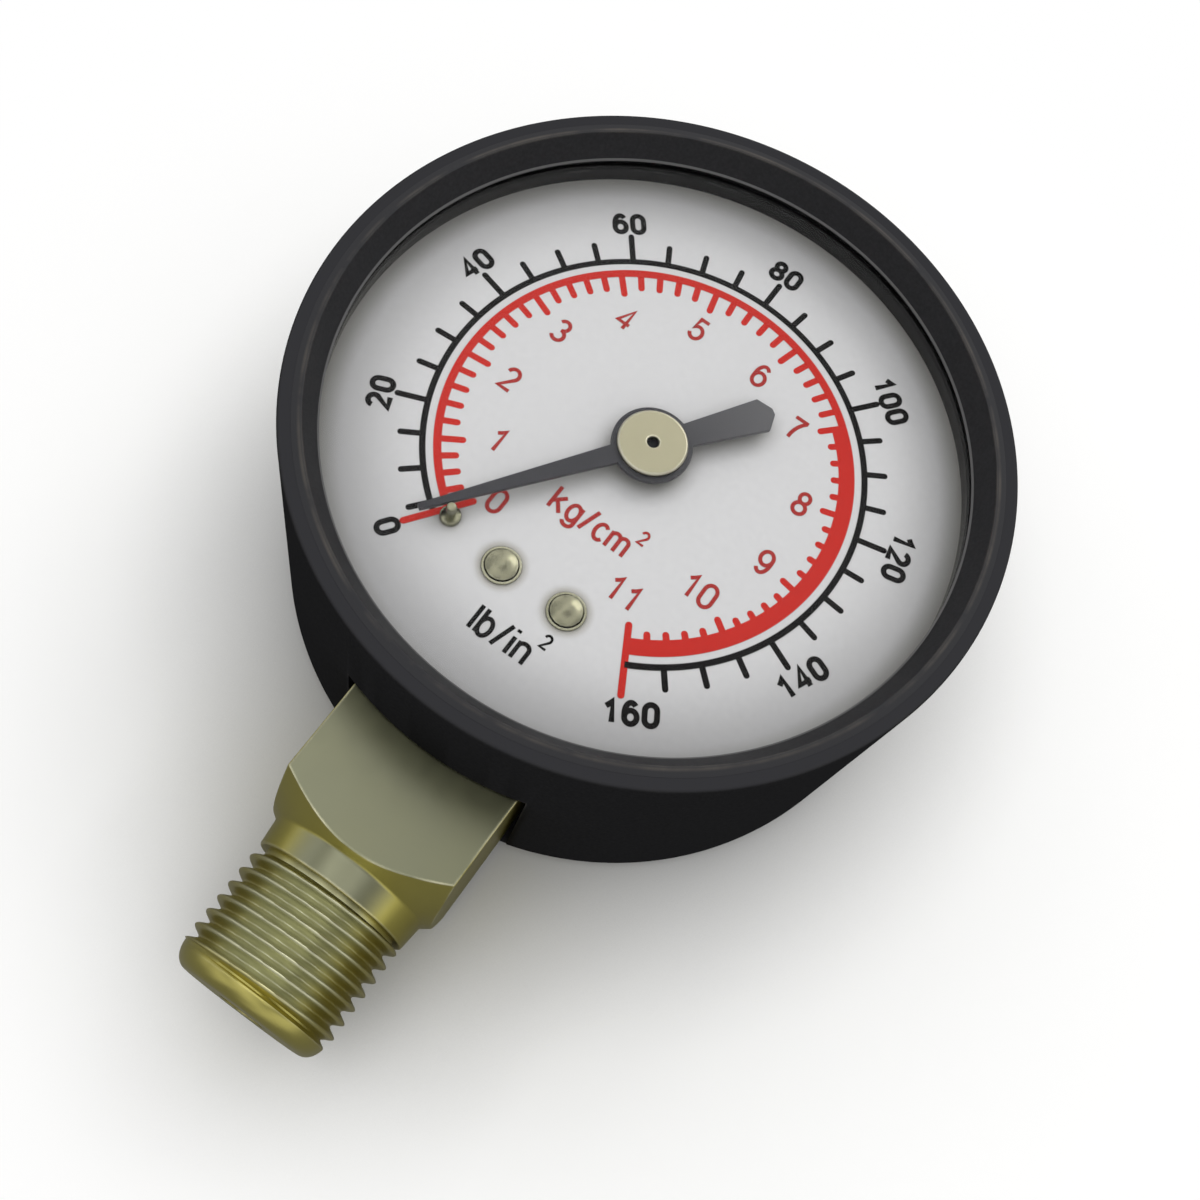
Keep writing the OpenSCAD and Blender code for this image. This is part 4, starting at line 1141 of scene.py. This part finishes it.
pointer_angle = math.radians(235)
pointer_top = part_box("pointer")[1].z
blade_t = 0.3 * MM
pointer_disc_r = 2.33 * MM
pointer_tip = 13.6 * MM
tip_half = 0.12 * MM
blade_half = 0.575 * MM
blade_more = 0.12 * MM
tail_end = 7.6 * MM
tail_corner = 6.95 * MM
tail_half = 1.025 * MM
tail_blunt = 0.2 * MM
hub_shank_r = 1.02 * MM
stamped_edge = 0.035 * MM
disc_steps = 44
pointer_edge_highlight_reach = 0.06 * MM


def meets_disc(outside, inside):
    """Where a straight edge of the blade or the tail runs in under the disc."""
    run = inside - outside
    reach = outside.dot(run)
    gap = outside.length_squared - pointer_disc_r ** 2
    return outside + run * (-reach - math.sqrt(reach ** 2 - run.length_squared * gap)) / run.length_squared


def disc_rim(start, end):
    """The disc's rim from one place to the next, anticlockwise."""
    first = math.atan2(start.y, start.x)
    sweep = (math.atan2(end.y, end.x) - first) % math.tau
    return arc_path(pointer_disc_r, math.degrees(first), math.degrees(first + sweep), disc_steps)


tip_high = Vector((pointer_tip, tip_half))
tip_low = Vector((pointer_tip, -tip_half - blade_more))
tail_high = Vector((-tail_corner, tail_half))
tail_low = Vector((-tail_corner, -tail_half))
middle_high = Vector((0, blade_half))
under_low = Vector((hub_shank_r, -blade_half - blade_more))
upper = [
    (pointer_tip, 0),
    tip_high,
    *disc_rim(meets_disc(tip_high, middle_high), meets_disc(tail_high, middle_high)),
    tail_high,
    (-tail_end, tail_blunt),
    (-tail_end, 0),
    *arc_path(hub_shank_r, 180, 0, disc_steps),
]
lower = [
    (-tail_end, 0),
    (-tail_end, -tail_blunt),
    tail_low,
    *disc_rim(meets_disc(tail_low, -middle_high), meets_disc(tip_low, under_low)),
    tip_low,
    (pointer_tip, 0),
    *arc_path(hub_shank_r, 360, 180, disc_steps),
]
bm = bmesh.new()
for half in (upper, lower):
    bm.faces.new([bm.verts.new((x, y, pointer_top - blade_t)) for x, y in half])
bmesh.ops.remove_doubles(bm, verts=bm.verts, dist=stamped_edge / 100)
raised = bmesh.ops.extrude_face_region(bm, geom=list(bm.faces))["geom"]
bmesh.ops.translate(bm, vec=(0, 0, blade_t), verts=[v for v in raised if isinstance(v, bmesh.types.BMVert)])
pointer = to_object("pointer_blade", bm)
soften(pointer, stamped_edge)
pointer.data.transform(Matrix.Rotation(pointer_angle, 4, "Z"))
slate, tree, shader = new_material("slate_lacquer", {"IOR": 1.45, "Specular IOR Level": 0.28})
place = add(tree, "TexCoord").outputs["Object"]
to_tip = (math.cos(pointer_angle), math.sin(pointer_angle), 0)
along = add(tree, "VectorMath", {0: place, 1: to_tip}, operation="DOT_PRODUCT").outputs["Value"]
# Painted reflection: the slate is paler towards the tail and darker towards the tip.
along = ranged(tree, along, -tail_end, 0.0)
slate_sheen = mix_colours(tree, along, (0.122, 0.122, 0.128, 1), (0.040, 0.040, 0.046, 1))
grain = place_group(tree, grain_group, {"Colour": slate_sheen, "Fineness": 3600.0, "Contrast": 0.25})
edges = place_group(tree, edge_highlight_group, {
    "Colour": grain["Colour"], "Rubbed_Highlight": (0.10, 0.10, 0.11, 1), "Amount": 0.3, "Reach": pointer_edge_highlight_reach,
})
gloss = place_group(tree, handling_group, {"Shiniest": 0.28, "Dullest": 0.38, "Patches": 300.0})
peel = add(tree, "Bump", {"Height": grain["Height"], "Strength": 0.06, "Distance": 0.01 * MM})
feed(tree, shader, Base_Color=edges["Colour"], Roughness=gloss["Roughness"], Normal=peel.outputs[0])
wear(pointer, slate)
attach(pointer, "pointer")
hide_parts("pointer")

# Pointer hub
# A turned bush of pale brass that carries the pointer: a flat cap with a broken edge, a shank through
# the disc and a flange below. A painted highlight rings the cap's edge, and painted shade darkens its
# foot. It is pressed on the pinion's arbor, which ends down in its hole.

hub_low, hub_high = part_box("pointer_hub")
cap_more = 0.1 * MM
cap_wider = 0.05 * MM
cap_r = hub_high.x + cap_wider
cap_top = hub_high.z + cap_more
hub_shank = 1.0 * MM
hub_flange_r = 1.4 * MM
hub_bore = 0.42 * MM
hub_eye = 0.35 * MM
hub_eye_depth = 0.2 * MM
flange_edge = 0.04 * MM
cap_gap = 0.06 * MM
cap_foot = 0.12 * MM
cap_round = 0.15 * MM
eye_round = 0.06 * MM
disc_under = pointer_top - blade_t
hub = lathe("hub_cap", rounded_profile([
    (hub_bore, hub_low.z, 0),
    (hub_flange_r, hub_low.z, flange_edge),
    (hub_flange_r, disc_under, 0),
    (hub_shank, disc_under, 0),
    (hub_shank, pointer_top, 0),
    (cap_r - cap_foot, pointer_top, 0),
    (cap_r - cap_foot, pointer_top + cap_gap, 0),
    (cap_r, pointer_top + cap_gap, 0),
    (cap_r, cap_top, cap_round),
    (hub_eye, cap_top, eye_round),
    (hub_eye, hub_high.z - hub_eye_depth, 0),
    (hub_bore, hub_high.z - hub_eye_depth, 0),
], steps=4), 128)
hub_brass = pale_brass.copy()
hub_brass.name = "hub_brass"
tree = hub_brass.node_tree
shader = tree.nodes["Principled BSDF"]
place = add(tree, "TexCoord").outputs["Object"]
height = add(tree, "SeparateXYZ", {0: place}).outputs["Z"]
# Painted shade: the cap's side below its round is darkened.
unshaded_share = ranged(tree, height, cap_top - cap_round, cap_top - cap_round / 2)
plain = shader.inputs["Base Color"].links[0].from_socket
# Painted highlight: a paler ring on the cap's rounded edge.
rim_highlight = ranged(tree, from_centre(tree), cap_r - cap_round, cap_r - cap_round / 2, 0.0, 0.7)
highlit_colour = mix_colours(tree, rim_highlight, plain, (0.66, 0.64, 0.52, 1))
feed(tree, shader, Base_Color=mix_colours(tree, unshaded_share, (0.17, 0.16, 0.095, 1), highlit_colour))
wear(hub, hub_brass)
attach(hub, "pointer")
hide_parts("pointer_hub")

# Dial ring and gasket
# A black moulded ring stands on the dial's edge, with a polished wall, and carries a flat rubber gasket.
# The gasket presses the window up against the bezel's lip.

ring_black = (0.006, 0.006, 0.007, 1)
ring_plastic = moulded_plastic(
    "ring_plastic",
    colour=ring_black,
    rubbed_highlight=(0.06, 0.06, 0.06, 1),
    dust=ring_black,
    shiniest=0.16,
    dullest=0.18,
    shine=0.4,
    depth=0.01,
)
wear(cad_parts["dial_ring"], ring_plastic)
rubber_black = (0.003, 0.003, 0.003, 1)
gasket_rubber = moulded_plastic(
    "gasket_rubber",
    colour=rubber_black,
    rubbed_highlight=(0.006, 0.006, 0.006, 1),
    dust=rubber_black,
    shiniest=0.24,
    dullest=0.26,
    shine=0.2,
    depth=0.01,
)
wear(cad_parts["window_gasket"], gasket_rubber)

# Window
# A flat disc of clear polished plastic with a broken edge, held between the gasket and the bezel's lip.
# Lamps shine through it on the dial.

window_low, window_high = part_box("window")
window_edge = 0.1 * MM
window = lathe("window_pane", rounded_profile([
    (0, window_low.z, 0),
    (window_high.x, window_low.z, window_edge),
    (window_high.x, window_high.z, window_edge),
    (0, window_high.z, 0),
]), 192, closed=False)
clear, tree, shader = new_material("clear_window", {
    "Base Color": (0.98, 0.98, 0.98, 1), "Transmission Weight": 1.0, "IOR": 1.15,
})
gloss = place_group(tree, handling_group, {"Shiniest": 0.0, "Dullest": 0.03, "Patches": 90.0})
feed(tree, shader, Roughness=gloss["Roughness"])
path = add(tree, "LightPath").outputs
lit = add(tree, "Math", {0: path["Is Shadow Ray"], 1: path["Is Diffuse Ray"]}, operation="MAXIMUM")
let_through = add(tree, "BsdfTransparent", {"Color": (0.95, 0.95, 0.95, 1)})
pane = add(tree, "MixShader", {0: lit.outputs[0], 1: shader.outputs[0], 2: let_through.outputs[0]})
tree.links.new(pane.outputs[0], tree.nodes["Material Output"].inputs["Surface"])
wear(window, clear)
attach(window, "gauge")
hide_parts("window")

# Bezel
# A black moulded ring that snaps into the case's mouth by a bead. A thin skirt covers the joint with the
# rim, and from the crest a slope runs down to a narrow lip over the window. A painted highlight runs pale
# along the lip and along the crest.

bezel_r = mouth_r - ring_play
bezel_w = 0.97 * MM
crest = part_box("bezel")[1].z
skirt_w = 0.45 * MM
skirt_t = 0.012 * MM
skirt_foot = 0.1
crest_w = 0.12 * MM
crest_round = 0.06 * MM
slope_round = 0.05 * MM
lip_round = 0.02 * MM
sight_round = 0.01 * MM
sight_r = bezel_r - bezel_w
lip = 0.14 * MM
lip_w = 0.10 * MM
rebate_r = window_high.x + ring_play
skirt_top = case_rim + skirt_t
bezel = lathe("bezel_ring", rounded_profile([
    (bezel_r, ring_top, 0),
    (bezel_r, bead_z - bead_h, 0),
    (bezel_r + bead_h, bead_z, 0),
    (bezel_r, bead_z + bead_h, 0),
    (bezel_r, case_rim, 0),
    (bezel_r + skirt_w, case_rim, 0),
    (bezel_r + skirt_w, skirt_top, 0),
    (bezel_r + (1 - skirt_foot) * skirt_w, skirt_top + skirt_foot * (crest - skirt_top), 0),
    (bezel_r, crest, crest_round),
    (bezel_r - crest_w, crest, slope_round),
    (sight_r + lip_w, window_top + lip, lip_round),
    (sight_r, window_top + lip / 4, sight_round),
    (sight_r, window_top, 0),
    (rebate_r, window_top, 0),
    (rebate_r, ring_top, 0),
]), 256)


def crest_only(tree):
    """Painted highlight along the crest, and none on the slope or at the skirt's thin edge."""
    crest_r = bezel_r - crest_w / 2
    off = add(tree, "Math", {0: from_centre(tree), 1: crest_r}, operation="SUBTRACT").outputs[0]
    off = add(tree, "Math", {0: off}, operation="ABSOLUTE").outputs[0]
    return ranged(tree, off, 2 * crest_w, crest_w, 0.0, 0.8)


bezel_plastic = moulded_plastic(
    "bezel_plastic",
    colour=(0.025, 0.025, 0.0265, 1),
    rubbed_highlight=(0.095, 0.086, 0.077, 1),
    dust=(0.038, 0.038, 0.041, 1),
    shiniest=0.46,
    dullest=0.60,
    wear_highlight=crest_only,
)
tree = bezel_plastic.node_tree
shader = tree.nodes["Principled BSDF"]
# Painted highlight: a pale line on the lip over the window.
wear_highlight = ranged(tree, from_centre(tree), sight_r + lip_w, sight_r + lip_w * 0.9)
plain = shader.inputs["Base Color"].links[0].from_socket
feed(tree, shader, Base_Color=mix_colours(tree, wear_highlight, plain, (0.12, 0.12, 0.12, 1)))
wear(bezel, bezel_plastic)
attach(bezel, "gauge")
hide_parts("bezel")

# Floor
# A plain white table top under the gauge, in matt paper. Far from the gauge it shows as pure white, and
# near it keeps the soft shadow, deepened there by painted shadow.

floor_half = 0.6
floor_t = 0.002
shadow_reach = 0.023
white_from = 0.061
shadow_shift = Vector((0.003, 0.002, 0))
shadow_middle = shadow_shift + Vector((0, (cad_low.y + cad_high.y) / 2, 0))
floor_corner_reach = 12 * MM
floor = block("floor", (-floor_half, -floor_half, -floor_t), (floor_half, floor_half, 0))
paper, tree, shader = new_material("white_paper", {"Roughness": 0.9, "Specular IOR Level": 0.0})
place = add(tree, "TexCoord").outputs["Object"]
paper_white = (1.04, 1.04, 1.03, 1)
grain = place_group(tree, grain_group, {"Colour": paper_white, "Fineness": 700.0, "Contrast": 0.02})
# Painted shadow: the corner shade darkens the paper near the gauge.
corner = place_group(tree, shade_group, {
    "Colour": grain["Colour"], "Shade": (0.60, 0.60, 0.59, 1), "Reach": floor_corner_reach,
})
feed(tree, shader, Base_Color=corner["Colour"])
away = add(tree, "VectorMath", {0: place, 1: shadow_middle}, operation="DISTANCE").outputs["Value"]
far = ranged(tree, away, shadow_reach, white_from, smooth=True)
seen = add(tree, "LightPath").outputs["Is Camera Ray"]
white = add(tree, "Emission", {"Color": (1, 1, 1, 1), "Strength": 1.0})
shown = add(tree, "MixShader", {0: far, 1: shader.outputs[0], 2: white.outputs[0]})
dim = add(tree, "BsdfDiffuse", {"Color": (0.30, 0.30, 0.295, 1)})
mixed = add(tree, "MixShader", {0: seen, 1: dim.outputs[0], 2: shown.outputs[0]})
tree.links.new(mixed.outputs[0], tree.nodes["Material Output"].inputs["Surface"])
wear(floor, paper)

# Light
# The room is a pale dome with soft darker and brighter parts, brightest above the far side of the gauge,
# with one broad soft lamp on that side.

brightest = Vector((0.17, 0.50, 0.85))
dome_dark = 0.55
dome_light = 1.05
lamp_place = Vector((0.06, 0.36, 0.30))
lamp_data = bpy.data.lights.new("key", "AREA")
lamp_data.size = 0.20
lamp_data.energy = 0.25
lamp_data.color = (1.0, 0.985, 0.96)
lamp = bpy.data.objects.new("key", lamp_data)
lamp.location = lamp_place
lamp.rotation_euler = (Vector((0, 0, dial_face)) - lamp_place).to_track_quat("-Z", "Y").to_euler()
bpy.context.scene.collection.objects.link(lamp)

world = bpy.data.worlds.new("room")
bpy.context.scene.world = world
world.use_nodes = True
tree = world.node_tree
background = tree.nodes["Background"]
background.inputs["Color"].default_value = (1, 1, 1, 1)
way = add(tree, "TexCoord").outputs["Generated"]
facing = add(tree, "VectorMath", {0: way, 1: brightest}, operation="DOT_PRODUCT").outputs["Value"]
level = ranged(tree, facing, -0.3, 1.0, dome_dark, dome_light)
furniture = add(tree, "TexNoise", {"Vector": way, "Scale": 2.2, "Detail": 1.0}).outputs["Fac"]
furniture = ranged(tree, furniture, 0.35, 0.65, 0.45, 1.55, smooth=True)
level = product(tree, level, furniture)
tree.links.new(level, background.inputs["Strength"])
seen = add(tree, "LightPath").outputs["Is Camera Ray"]
shown = add(tree, "Background", {"Color": (1, 1, 1, 1), "Strength": 1.0})
mixed = add(tree, "MixShader", {0: seen, 1: background.outputs[0], 2: shown.outputs[0]})
tree.links.new(mixed.outputs[0], tree.nodes["World Output"].inputs["Surface"])

# Camera
# It looks down on the gauge from the stem's side, turned so that the stem points to the lower left. Its
# place and its directions are those of a pinhole camera fitted to the printed scale.

camera_angle = math.radians(45)
camera_place = Vector((9.235, -38.570, 88.440)) * MM
camera_right = Vector((0.81335985, 0.56007179, 0.15737011))
camera_up = Vector((-0.57599951, 0.73730579, 0.35299396))
camera_back = camera_right.cross(camera_up)
camera = bpy.data.objects.new("camera", bpy.data.cameras.new("camera"))
camera.data.angle = camera_angle
camera.data.clip_start = 1 * MM
turn = Matrix((camera_right, camera_up, camera_back)).transposed()
camera.matrix_world = Matrix.Translation(camera_place) @ turn.to_4x4()
bpy.context.scene.collection.objects.link(camera)
bpy.context.scene.camera = camera
bpy.context.scene.view_settings.view_transform = "Standard"
